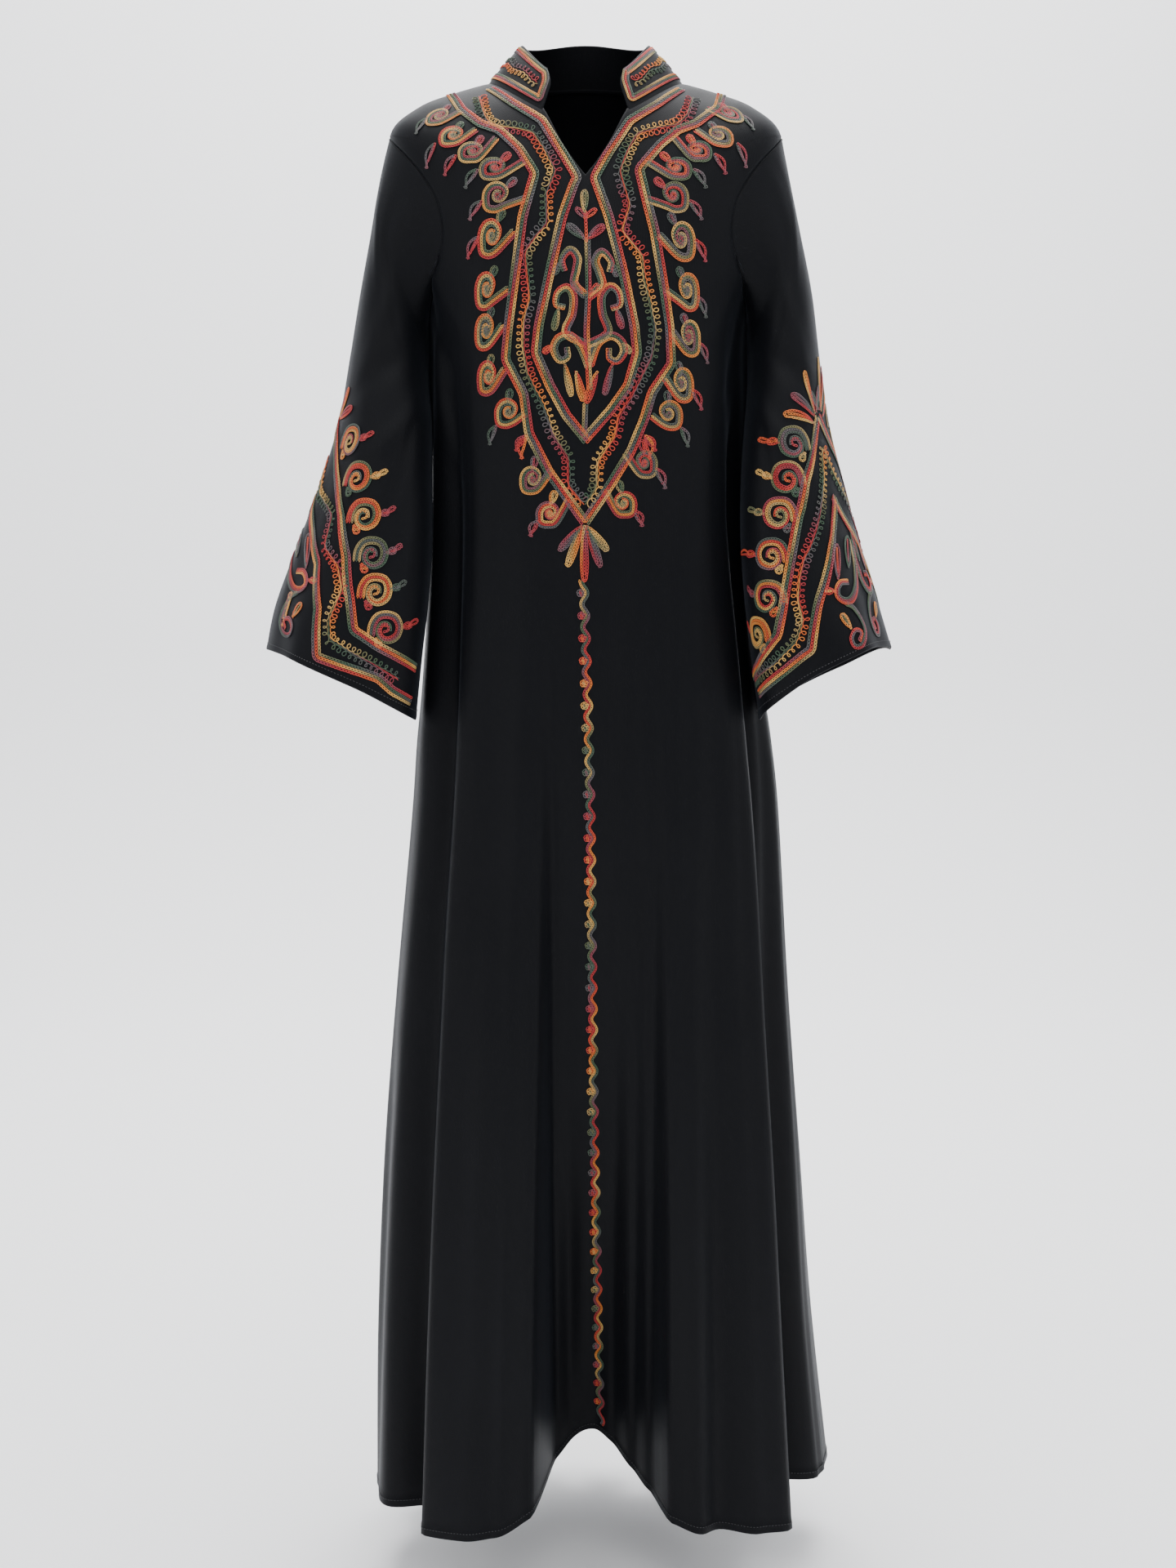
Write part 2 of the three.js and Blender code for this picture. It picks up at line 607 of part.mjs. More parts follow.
function petalsAt(tip, lengths, spread, width) {
  return lengths.map((length, i) => {
    const angle = radians(-90 + spread * (i - (lengths.length - 1) / 2));
    const end = [tip[0] + length * Math.cos(angle), tip[1] + length * Math.sin(angle)];
    return flatBand(curveThrough([tip, end]), width * 0.6, width, 2);
  });
}

// A slab over a cloth's grid in the pattern plane, slightly uneven so that every facet of the cloth
// stays a facet of what is cut from it.
function patternSlab(cloth) {
  const layer = (height) => cloth.flat.map((row, i) => row.map(({ x, y }, j) => {
    const uneven = 0.2 * Math.sin(12.9 * i + 7.3 * j + 2.1 * i * j);
    return new THREE.Vector3(x, y, height + uneven);
  }));
  return wallBetween(layer(1), layer(0), cloth.outer, false);
}

// The facet of a cloth's grid under a point of the pattern plane, with the weights of its corners.
function facetUnder(cloth, x, y) {
  const at = new THREE.Vector3(x, y, 0);
  const weights = new THREE.Vector3();
  let best = { miss: Infinity };
  for (let i = 0; i < cloth.flat.length - 1; i += 1) {
    for (let j = 0; j < cloth.flat[0].length - 1; j += 1) {
      for (const corners of cellFacets(cloth.outer, i, j)) {
        const flat = corners.map(([r, q]) => new THREE.Vector3(cloth.flat[r][q].x, cloth.flat[r][q].y, 0));
        THREE.Triangle.getBarycoord(at, ...flat, weights);
        const miss = -Math.min(weights.x, weights.y, weights.z);
        if (miss < best.miss) best = { miss, corners, weights: weights.toArray() };
      }
    }
  }
  return best;
}

// Joins flat pieces and lays them on a cloth: each facet of the work follows a facet of the cloth.
function laidWork(pieces, cloth) {
  const joined = pieces.map(toSolid).reduce((sum, piece) => sum.add(piece));
  const geometry = toGeometry(joined.intersect(toSolid(patternSlab(cloth))));
  const position = geometry.attributes.position;
  for (let i = 0; i < position.count; i += 1) {
    const { corners, weights } = facetUnder(cloth, position.getX(i), position.getY(i));
    const rise = workLift + (position.getZ(i) > 0.5 ? workHeight : 0);
    const at = new THREE.Vector3();
    corners.forEach(([r, q], k) => {
      const moved = cloth.outer[r][q].clone().addScaledVector(cloth.normals[r][q], rise);
      at.addScaledVector(moved, weights[k]);
    });
    position.setXYZ(i, at.x, at.y, at.z);
  }
  return geometry;
}

// Borders of the front, drawn as seen from the front: across and height. Wearer's left half.
const yokePath = [
  [134, -14], [128, -27], [108, -43], [90, -50], [70, -67], [53, -92], [61, -128], [68, -172], [76, -224],
  [82, -264], [79, -290], [64, -310], [58, -335], [44, -372], [24, -402], [0, -434],
];
const necklinePath = [
  [95, -2], [73, -19], [54, -33], [39, -54], [24, -77], [11, -99], [24, -137], [36, -191], [46, -240],
  [50, -270], [36, -302], [19, -331], [0, -354],
];
const stemPath = [[0, -128], [0, -180], [2, -250], [1, -322]];
const vine = { top: -502, bottom: -1415, shift: 17, width: 8 };

const front = frontPanel();
const frontCloth = {
  ...front,
  flat: front.outer.map((row) => row.map((point) => new THREE.Vector2(point.x, point.z))),
};

function yokeBorder() {
  const left = curveThrough(yokePath);
  const right = curveThrough(mirrored(yokePath));
  const pieces = [
    flatBand(left, borderWidth, borderWidth, 24),
    flatBand(right, borderWidth, borderWidth, 24),
    ...scrollsAlong(left, 13, 1, 15, 1.15),
    ...scrollsAlong(right, 13, -1, 15, 1.15),
    ...petalsAt([0, -434], [42, 46, 60, 46, 42], 32, 7),
  ];
  return laidWork(pieces, frontCloth);
}

function necklineBorder() {
  const paths = [necklinePath, mirrored(necklinePath)].map(curveThrough);
  return laidWork(paths.map((path) => flatBand(path, borderWidth, borderWidth, 16)), frontCloth);
}

function centreStem() {
  const pieces = [flatBand(curveThrough(stemPath), 4, 4, 9)];
  for (const side of [-1, 1]) {
    for (const [z, reach, rise] of [[-152, 15, 12], [-214, 20, 18], [-292, 22, 20]]) {
      const leaf = [[0, z], [side * reach * 0.6, z + rise * 0.35], [side * reach, z + rise]];
      pieces.push(flatBand(curveThrough(leaf), 4, 9, 3));
    }
  }
  return laidWork(pieces, frontCloth);
}

function centreVine() {
  const middle = [vine.shift * 0.4, (vine.top + vine.bottom) / 2];
  const path = curveThrough([[0, vine.top], middle, [vine.shift, vine.bottom]]);
  return laidWork([flatBand(path, vine.width, vine.width, 24)], frontCloth);
}

// Borders of a sleeve, drawn flat: round from the outer line towards the front, and up from the cuff.
// Each is an arrow head about its own axis, and its half behind mirrors the half in front.
const sleeveWork = {
  left: {
    axis: 50,
    outer: [[50, 242], [96, 193], [120, 148], [142, 109], [163, 69], [205, 50], [232, 44]],
    inner: [[50, 170], [80, 130], [107, 88], [126, 39], [164, 30], [212, 24]],
  },
  right: {
    axis: -4,
    outer: [[-4, 238], [52, 186], [80, 159], [99, 128], [110, 94], [122, 64], [150, 57], [205, 50]],
    inner: [[-4, 164], [66, 114], [86, 73], [97, 26], [120, 23], [200, 18]],
  },
};

function sleevePaths(side, axis, points) {
  const front = points.map(([x, y]) => [-side * x, y]);
  const behind = points.map(([x, y]) => [-side * (2 * axis - x), y]);
  return [front, behind].map(curveThrough);
}

function sleeveBorder(cloth, side, { axis, outer }) {
  const [front, behind] = sleevePaths(side, axis, outer);
  const pieces = [
    flatBand(front, borderWidth, borderWidth, 13),
    flatBand(behind, borderWidth, borderWidth, 13),
    ...scrollsAlong(front, 6, -side, 13, 1),
    ...scrollsAlong(behind, 6, side, 13, 1),
  ];
  return laidWork(pieces, cloth);
}

function cuffBorder(cloth, side, { axis, inner }) {
  const paths = sleevePaths(side, axis, inner);
  return laidWork(paths.map((path) => flatBand(path, borderWidth, borderWidth, 12)), cloth);
}

// Materials
const crepe = { color: 0x0c0c0f, roughness: 0.62, metalness: 0 };
const collarCloth = { color: 0x0b0b0e, roughness: 0.66, metalness: 0 };
const threads = {
  crimson: { color: 0x9c1c1c, roughness: 0.5, metalness: 0 },
  gold: { color: 0xb07a2a, roughness: 0.45, metalness: 0.1 },
  green: { color: 0x2e4a3a, roughness: 0.55, metalness: 0 },
};

const abaya = new THREE.Group();

function addPiece(name, geometry, finish) {
  const mesh = new THREE.Mesh(geometry, new THREE.MeshStandardMaterial(finish));
  mesh.name = name;
  abaya.add(mesh);
}

const back = backPanel();
addPiece('front_panel', wallBetween(front.outer, front.inner, front.outer, false), crepe);
addPiece('back_panel', wallBetween(back.outer, back.inner, back.outer, false), crepe);
addPiece('collar', collar(), collarCloth);
addPiece('yoke_border', yokeBorder(), threads.crimson);
addPiece('neckline_border', necklineBorder(), threads.gold);
addPiece('centre_stem', centreStem(), threads.green);
addPiece('centre_vine', centreVine(), threads.gold);
for (const [name, side] of [['left', 1], ['right', -1]]) {
  const cloth = sleeveGrids(side);
  const [outer, inner] = [cloth.outer, cloth.inner].map((grid) => grid.map((row) => row.slice(0, -1)));
  addPiece(`sleeve_${name}`, wallBetween(outer, inner, outer, true), crepe);
  addPiece(`sleeve_border_${name}`, sleeveBorder(cloth, side, sleeveWork[name]), threads.crimson);
  addPiece(`cuff_border_${name}`, cuffBorder(cloth, side, sleeveWork[name]), threads.gold);
}

export default abaya;
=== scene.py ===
import math
import bpy
import numpy as np
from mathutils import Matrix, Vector


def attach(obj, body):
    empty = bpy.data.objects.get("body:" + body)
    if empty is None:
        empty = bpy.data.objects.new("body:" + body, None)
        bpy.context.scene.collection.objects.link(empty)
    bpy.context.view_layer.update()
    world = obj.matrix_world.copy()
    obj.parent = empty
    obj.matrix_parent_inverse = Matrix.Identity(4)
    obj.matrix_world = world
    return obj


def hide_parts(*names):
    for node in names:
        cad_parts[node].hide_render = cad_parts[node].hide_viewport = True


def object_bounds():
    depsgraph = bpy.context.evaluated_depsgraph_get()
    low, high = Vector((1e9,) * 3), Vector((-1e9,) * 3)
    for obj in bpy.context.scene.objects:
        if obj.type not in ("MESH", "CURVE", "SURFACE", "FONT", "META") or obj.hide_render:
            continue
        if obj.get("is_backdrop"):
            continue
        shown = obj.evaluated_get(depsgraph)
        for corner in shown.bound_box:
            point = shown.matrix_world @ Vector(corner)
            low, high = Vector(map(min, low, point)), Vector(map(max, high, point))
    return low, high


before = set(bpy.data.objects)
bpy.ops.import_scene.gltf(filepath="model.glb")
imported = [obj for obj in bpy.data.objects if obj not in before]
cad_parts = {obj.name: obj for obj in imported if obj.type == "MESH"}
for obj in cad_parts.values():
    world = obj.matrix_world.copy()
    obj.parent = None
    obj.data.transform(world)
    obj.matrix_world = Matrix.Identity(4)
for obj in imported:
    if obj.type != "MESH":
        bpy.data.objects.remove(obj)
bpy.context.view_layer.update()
mm = 0.001  # lengths below are millimetres, and a mesh takes them to metres

# the worn shape
body = {
    "hemDrop": 1495,
    "neckHalf": 99,
    "shoulderHalf": 202,
    "seamGap": -0.4,
    "clothThickness": 1.2,
    "vHalfAngle": 30,  # where the V neck leaves the neck seam
    "vLevel": 1.85,
    "drawIn": 0.17,
    "fluteTop": -250,
    "armholeTop": 3,
    "armholeBottom": 6,
    "armholeFront": 31,
    "armholeBack": 25,
    "armholeLens": 0.45,
    "seamDip": 1.1,  # how deep the cloth dips at a seam
    "hemBand": 13,
    "skirtLevel": 185,  # from one section of the skirt to the next
    "perDegree": 2.9,
    "foldPerDegree": 2.6,
}
hemRise = {"height": 64, "angle": 3, "halfWidth": 23, "from": -700}

# heights at side, front and back, half widths left and right, depths front and back, power of the oval
bodySections = np.array([
    [11, -38, 20, body["neckHalf"], body["neckHalf"], 82, 68, 2],
    [1, -68, -12, 134, 134, 91, 82, 2.1],
    [-14, -100, -48, 173, 173, 101, 93, 2.2],
    [-42, -135, -85, body["shoulderHalf"], body["shoulderHalf"], 110, 100, 2.3],
    [-95, -168, -130, 197, 192, 117, 104, 2.4],
    [-160, -205, -185, 182, 175, 124, 106, 2.4],
    [-232, -250, -243, 165, 160, 130, 106, 2.4],
    [-330, -335, -330, 165, 159, 131, 103, 2.4],
    [-450, -450, -450, 169, 163, 129, 101, 2.3],
    [-600, -600, -600, 189, 174, 129, 108, 2.25],
    [-670, -670, -670, 200, 181, 130, 114, 2.2],
    [-750, -750, -750, 209, 187, 131, 120, 2.2],
    [-930, -930, -930, 221, 204, 134, 131, 2.2],
    [-1120, -1120, -1120, 236, 219, 138, 142, 2.2],
    [-1310, -1310, -1310, 250, 227, 141, 151, 2.2],
    [-1495, -1495, -1495, 270, 228, 143, 160, 2.2],
])
hemLevel = len(bodySections) - 1

# flutes of the skirt: angle at the hem, angle high up, reach at the hem, where each starts, and how fast
# it deepens
flutes = np.array([
    [-90, -90, 0, -500, 1], [-80, -81, 9, -600, 1.3], [-70, -71, 22, -520, 1.2],
    [-60, -59, -12, -300, 0.8], [-53, -51, 46, -380, 1.3], [-42, -41, 44, -420, 1.5],
    [-33, -31, 36, -420, 1.5], [-22, -21, 16, -420, 1.5], [-16, -13, -96, -380, 1.7],
    [-7, -6, -104, -380, 1.7], [4, 4, -104, -380, 1.7], [13, 12, -94, -400, 1.6],
    [22, 21, -72, -420, 1.6], [28, 29, -46, -430, 1.6], [33, 37, 14, -430, 1.5],
    [41, 44, 28, -430, 1.3], [47, 50, 17, -430, 1.3], [56, 57, 38, -400, 1.1],
    [62, 62, 44, -380, 1], [68, 68, -58, -330, 1.1], [77, 76, -50, -420, 1.1],
    [85, 84, -8, -420, 1.1], [90, 90, 0, -500, 1], [99, 101, 12, -620, 1.2],
    [109, 112, -24, -520, 1.1], [121, 123, 34, -560, 1.3], [132, 135, -16, -470, 1.2],
    [145, 146, 30, -430, 1.4], [157, 158, -30, -380, 1.3], [172, 170, 26, -420, 1.4],
    [185, 183, -14, -500, 1.3], [197, 195, 36, -440, 1.4], [209, 207, -28, -390, 1.2],
    [222, 219, 30, -470, 1.3], [234, 232, -20, -520, 1.2], [246, 245, 26, -580, 1.3],
    [258, 257, -16, -600, 1.2], [270, 270, 0, -500, 1],
])

# large creases that fade at both ends: angle, height of the middle, half length, depth, half width
creases = [
    (-59, -540, 250, -9, 5), (-70, -460, 230, 5, 6), (52, -560, 260, 7, 9), (67, -520, 260, -10, 5),
    (24, -620, 240, -5, 9), (150, -330, 190, -8, 7), (205, -360, 210, -8, 7), (178, -520, 200, 6, 9),
]

# smaller folds: start and end as (angle, height), height of the ridge (a trough is below
# zero), half width and bow, in millimetres but for the angles
bodyFolds = [
    # the side seams swell behind the sleeves
    {"start": (90, -185), "end": (90, -520), "ridge": 8, "width": 17, "bow": 0},
    {"start": (-90, -185), "end": (-90, -520), "ridge": 8, "width": 17, "bow": 0},
    {"start": (270, -185), "end": (270, -520), "ridge": 8, "width": 17, "bow": 0},
    # from the armholes over the bust
    {"start": (-74, -120), "end": (-47, -265), "ridge": 2.2, "width": 11, "bow": 14},
    {"start": (-76, -150), "end": (-55, -300), "ridge": -2.6, "width": 9, "bow": 16},
    {"start": (-70, -215), "end": (-56, -400), "ridge": 2.4, "width": 8, "bow": 9},
    {"start": (72, -125), "end": (50, -260), "ridge": 2.0, "width": 12, "bow": -14},
    {"start": (74, -170), "end": (58, -330), "ridge": -2.4, "width": 9, "bow": -12},
    {"start": (67, -230), "end": (60, -430), "ridge": 2.2, "width": 8, "bow": -7},
    # long soft ones down the front
    {"start": (-52, -250), "end": (-50, -560), "ridge": -2.6, "width": 8, "bow": 2},
    {"start": (-47, -330), "end": (-45, -800), "ridge": 2.0, "width": 13, "bow": -3},
    {"start": (-38, -430), "end": (-36, -980), "ridge": -1.9, "width": 14, "bow": 4},
    {"start": (-27, -420), "end": (-26, -900), "ridge": 2.2, "width": 14, "bow": -3},
    {"start": (-19, -480), "end": (-24, -1200), "ridge": -2.4, "width": 12, "bow": 5},
    {"start": (-11, -520), "end": (-10, -860), "ridge": 1.6, "width": 11, "bow": 2},
    {"start": (9, -520), "end": (8, -1000), "ridge": 1.7, "width": 14, "bow": 4},
    {"start": (17, -470), "end": (19, -1060), "ridge": -2.2, "width": 12, "bow": -4},
    {"start": (27, -400), "end": (27, -900), "ridge": 1.8, "width": 13, "bow": 3},
    {"start": (36, -400), "end": (38, -1000), "ridge": -2.6, "width": 10, "bow": -3},
    {"start": (46, -350), "end": (46, -820), "ridge": 2.4, "width": 10, "bow": 3},
    {"start": (55, -300), "end": (55, -620), "ridge": -2.2, "width": 8, "bow": 0},
    {"start": (-64, -620), "end": (-66, -1250), "ridge": 3.0, "width": 12, "bow": 5},
    {"start": (-49, -900), "end": (-47, -1420), "ridge": -3.4, "width": 13, "bow": -4},
    {"start": (-36, -1080), "end": (-38, -1490), "ridge": -3.0, "width": 14, "bow": 3},
    {"start": (-28, -1180), "end": (-27, -1500), "ridge": 3.0, "width": 12, "bow": 2},
    {"start": (-75, -980), "end": (-75, -1480), "ridge": -4.0, "width": 11, "bow": 3},
    {"start": (37, -1060), "end": (38, -1490), "ridge": 3.4, "width": 12, "bow": -3},
    {"start": (52, -980), "end": (53, -1450), "ridge": -3.4, "width": 12, "bow": 3},
    {"start": (1, -1060), "end": (0, -1440), "ridge": 3.2, "width": 16, "bow": 0},
    {"start": (-8, -1150), "end": (-9, -1440), "ridge": -3.0, "width": 12, "bow": 0},
    {"start": (11, -1120), "end": (10, -1440), "ridge": -3.2, "width": 13, "bow": 0},
    {"start": (72, -1000), "end": (73, -1480), "ridge": 4.0, "width": 13, "bow": 0},
    # back: pulls between the shoulder blades, then long soft folds
    {"start": (112, -130), "end": (140, -300), "ridge": -2.6, "width": 12, "bow": -14},
    {"start": (106, -190), "end": (128, -400), "ridge": 2.4, "width": 11, "bow": -12},
    {"start": (248, -130), "end": (222, -310), "ridge": -2.8, "width": 12, "bow": 14},
    {"start": (254, -200), "end": (234, -420), "ridge": 2.4, "width": 11, "bow": 12},
    {"start": (158, -200), "end": (164, -520), "ridge": 2.0, "width": 14, "bow": 4},
    {"start": (192, -210), "end": (190, -560), "ridge": -2.0, "width": 14, "bow": -4},
    {"start": (176, -300), "end": (177, -820), "ridge": -2.2, "width": 12, "bow": 3},
    {"start": (138, -420), "end": (139, -980), "ridge": 2.6, "width": 12, "bow": 3},
    {"start": (215, -420), "end": (214, -1000), "ridge": 2.4, "width": 12, "bow": -4},
    {"start": (240, -520), "end": (240, -1200), "ridge": -2.8, "width": 12, "bow": 5},
    {"start": (117, -560), "end": (115, -1220), "ridge": -2.8, "width": 12, "bow": -5},
    {"start": (151, -900), "end": (151, -1480), "ridge": -3.4, "width": 12, "bow": 3},
    {"start": (178, -960), "end": (179, -1480), "ridge": 3.2, "width": 12, "bow": 3},
    {"start": (203, -940), "end": (203, -1480), "ridge": -3.2, "width": 11, "bow": -3},
    {"start": (228, -980), "end": (228, -1480), "ridge": 3.4, "width": 12, "bow": 2},
    {"start": (251, -1000), "end": (252, -1480), "ridge": -3.6, "width": 11, "bow": 2},
    {"start": (104, -980), "end": (104, -1480), "ridge": 3.4, "width": 12, "bow": 2},
    {"start": (126, -1050), "end": (127, -1490), "ridge": -3.2, "width": 12, "bow": -2},
]


def bell(x):
    return np.exp(-x * x)


def smooth(t):
    t = np.clip(t, 0, 1)
    return t * t * (3 - 2 * t)


def tableAt(rows, level):  # smooth value of every column at a level between the rows
    last = len(rows) - 1
    k = np.clip(np.floor(level).astype(int), 0, last - 1)
    t = (level - k)[..., None]
    a, b, c, d = (rows[np.clip(k + i, 0, last)] for i in (-1, 0, 1, 2))
    return b + 0.5 * t * (c - a + t * (2 * a - 5 * b + 4 * c - d + t * (3 * (b - c) + d - a)))


def handFold(across, up, fold, mmAcross):
    # ridge or trough along a bowed line that fades at both ends
    (a0, b0), (a1, b1) = fold["start"], fold["end"]
    dx, dy = (a1 - a0) * mmAcross, b1 - b0
    length = math.hypot(dx, dy)
    px, py = (across - a0) * mmAcross, up - b0
    t = np.clip((px * dx + py * dy) / length ** 2, 0, 1)
    off = (px * dy - py * dx) / length - fold["bow"] * 4 * t * (1 - t)
    beyond = (px * dx + py * dy) / length - t * length
    fade = np.sin(math.pi * np.clip(t, 0, 1)) ** 0.8
    return fold["ridge"] * fade * bell(off / fold["width"]) * bell(beyond / fold["width"])


def foldReach(angle, z):
    turned = np.where(angle < -90, angle + 360, angle)
    t = np.clip((body["fluteTop"] - z) / (body["fluteTop"] + body["hemDrop"]), 0, 1)
    reach = np.zeros_like(turned)
    for low, high in zip(flutes[:-1], flutes[1:]):
        first = low[1] + (low[0] - low[1]) * t
        last = high[1] + (high[0] - high[1]) * t
        u = (turned - first) / (last - first)
        inside = (u >= 0) & (u < 1)
        depths = [f[2] * np.clip((f[3] - z) / (f[3] + body["hemDrop"]), 0, 1) ** f[4] for f in (low, high)]
        between = depths[0] + (depths[1] - depths[0]) * (0.5 - 0.5 * np.cos(math.pi * np.clip(u, 0, 1)))
        reach = np.where(inside, between, reach)
    for at, middle, halfLength, depth, halfWidth in creases:
        reach = reach + depth * bell((turned - at) / halfWidth) * bell(((z - middle) / halfLength) ** 2)
    for fold in bodyFolds:
        reach = reach + handFold(turned, z, fold, body["foldPerDegree"])
    return reach


def ovalPoint(section, angle, reachAt=None):
    sideZ, frontZ, backZ, left, right, front, back, power = np.moveaxis(section, -1, 0)
    sin, cos = np.sin(np.radians(angle)), np.cos(np.radians(angle))
    across = np.where(sin > 0, left, right)
    deep = np.where(cos > 0, front, back)
    radius = (np.abs(sin / across) ** power + np.abs(cos / deep) ** power) ** (-1 / power)
    z = sideZ + (np.where(cos > 0, frontZ, backZ) - sideZ) * cos * cos
    x, y = radius * sin, -radius * cos
    if reachAt is not None:
        nx = np.sign(sin) * np.abs(x / across) ** (power - 1) / across
        ny = -np.sign(cos) * np.abs(y / deep) ** (power - 1) / deep
        reach = reachAt(angle, z) / np.hypot(nx, ny)
        x, y = x + nx * reach, y + ny * reach
    return np.stack([x, y, z], axis=-1)


def bodyPoint(angle, level):
    angle, level = np.broadcast_arrays(np.asarray(angle, float), np.asarray(level, float))
    point = ovalPoint(tableAt(bodySections, level), angle, foldReach)
    lowered = np.clip((hemRise["from"] - point[..., 2]) / (hemRise["from"] + body["hemDrop"]), 0, 1)
    turned = np.where(angle > 180, angle - 360, angle)
    aside = (turned - hemRise["angle"]) / hemRise["halfWidth"]
    point[..., 2] += hemRise["height"] * lowered ** 2 * bell(aside)
    return point


def unit(v):
    return v / np.maximum(np.linalg.norm(v, axis=-1, keepdims=True), 1e-9)


def normalOf(surface, a, b, stepA, stepB):
    alongA = surface(a + stepA, b) - surface(a - stepA, b)
    alongB = surface(a, b + stepB) - surface(a, b - stepB)
    return unit(np.cross(alongB, alongA))


def bodyNormal(angle, level):
    return normalOf(bodyPoint, angle, np.clip(level, 0.02, hemLevel - 0.02), 0.2, 0.02)


def armholeAt(turn):  # turn 0 at the shoulder point, 180 at the underarm, the front half before 180
    turn = np.mod(turn, 360)
    isFront = turn <= 180
    down = np.where(isFront, turn, 360 - turn)
    depth = np.where(isFront, body["armholeFront"], body["armholeBack"]) * np.sin(np.radians(down))
    eased = 0.5 - 0.5 * np.cos(np.radians(down))
    share = eased + (down / 180 - eased) * body["armholeLens"]
    return depth, body["armholeTop"] + (body["armholeBottom"] - body["armholeTop"]) * share, isFront


# sleeves
sleeve = {
    "power": 2.25,
    "cuffLift": {1: 26, -1: 14},
    "cuffLiftFrom": 6,
    "armholeBlend": 1.6,
    "patternAxis": 15,
    "perDegree": 1.45,
    "perLevel": 57,
    "tuck": 2.6,  # how far the sleeve head runs under the panel edge
    "hemBand": 11,
}
# outer line left and right, its height and depth, inner line the same, depths front and back
sleeveSections = np.array([
    [202, 202, -42, 0, 167, 161, -236, 0, 58, 60],
    [211, 213, -86, -2, 168, 162, -250, -3, 60, 60],
    [222, 222, -138, -4, 169, 163, -272, -9, 62, 59],
    [235, 234, -202, -8, 168, 162, -302, -26, 64, 62],
    [243, 245, -268, -13, 164, 158, -340, -44, 66, 62],
    [252, 257, -335, -20, 160, 158, -388, -60, 68, 64],
    [269, 278, -402, -26, 159, 157, -446, -71, 72, 68],
    [288, 303, -468, -32, 163, 161, -512, -78, 77, 74],
    [305, 323, -524, -38, 171, 169, -578, -80, 82, 78],
    [318, 332, -569, -42, 180, 176, -639, -76, 84, 86],
])
cuffLevel = len(sleeveSections) - 1
# turn from the outer line towards the front, reach at the cuff, first level
sleeveFlutes = np.array([
    [0, 2, 3], [38, -5, 4], [74, 7, 3], [112, -4, 4], [150, 4, 5], [180, 0, 3],
    [214, -6, 4], [252, 9, 3], [296, -9, 3], [330, 6, 4], [360, 2, 3],
])
# folds as (turn, level) taken to millimetres: the elbow, the head and the bell
sleeveFolds = [
    {"start": (20, -40), "end": (70, -150), "ridge": 1.6, "width": 10, "bow": 8},
    {"start": (48, -30), "end": (110, -170), "ridge": -2.0, "width": 10, "bow": 10},
    {"start": (88, -60), "end": (60, -230), "ridge": 2.0, "width": 11, "bow": -10},
    {"start": (120, -140), "end": (40, -262), "ridge": -2.4, "width": 10, "bow": -12},
    {"start": (140, -190), "end": (70, -305), "ridge": 2.6, "width": 10, "bow": -10},
    {"start": (60, -250), "end": (66, -470), "ridge": -2.0, "width": 14, "bow": 4},
    {"start": (128, -230), "end": (100, -350), "ridge": -2.2, "width": 9, "bow": -6},
    {"start": (20, -280), "end": (28, -500), "ridge": 1.6, "width": 14, "bow": -4},
    {"start": (132, -330), "end": (126, -505), "ridge": 2.4, "width": 12, "bow": 3},
    {"start": (290, -50), "end": (245, -190), "ridge": 2.0, "width": 11, "bow": -10},
    {"start": (330, -60), "end": (290, -220), "ridge": -2.0, "width": 11, "bow": -8},
    {"start": (215, -150), "end": (300, -265), "ridge": -2.6, "width": 11, "bow": 10},
    {"start": (208, -215), "end": (280, -320), "ridge": 2.6, "width": 10, "bow": 8},
    {"start": (236, -290), "end": (232, -505), "ridge": -2.8, "width": 13, "bow": 4},
    {"start": (275, -300), "end": (272, -505), "ridge": 2.6, "width": 13, "bow": -3},
    {"start": (315, -330), "end": (312, -505), "ridge": -2.2, "width": 13, "bow": 3},
    {"start": (345, -180), "end": (352, -420), "ridge": 1.8, "width": 12, "bow": 3},
]
# the head of the left sleeve is slightly gathered
headGathers = [
    {"start": (8, -2), "end": (6, -46), "ridge": 1.3, "width": 3.4, "bow": 1},
    {"start": (15, -2), "end": (16, -62), "ridge": -1.5, "width": 3.6, "bow": 1},
    {"start": (23, -2), "end": (27, -52), "ridge": 1.4, "width": 3.6, "bow": -1},
    {"start": (32, -2), "end": (37, -70), "ridge": -1.4, "width": 4, "bow": -2},
    {"start": (41, -2), "end": (46, -48), "ridge": 1.0, "width": 4.4, "bow": 0},
    {"start": (352, -2), "end": (351, -54), "ridge": -1.2, "width": 4, "bow": 1},
    {"start": (340, -2), "end": (338, -44), "ridge": 1.0, "width": 4.4, "bow": 1},
]


def armholePoint(side, turn):
    depth, level, isFront = armholeAt(turn)
    return bodyPoint(side * np.where(isFront, 90 - depth, 90 + depth), level)


def armholeNormal(side, turn):
    depth, level, isFront = armholeAt(turn)
    return bodyNormal(side * np.where(isFront, 90 - depth, 90 + depth), level)


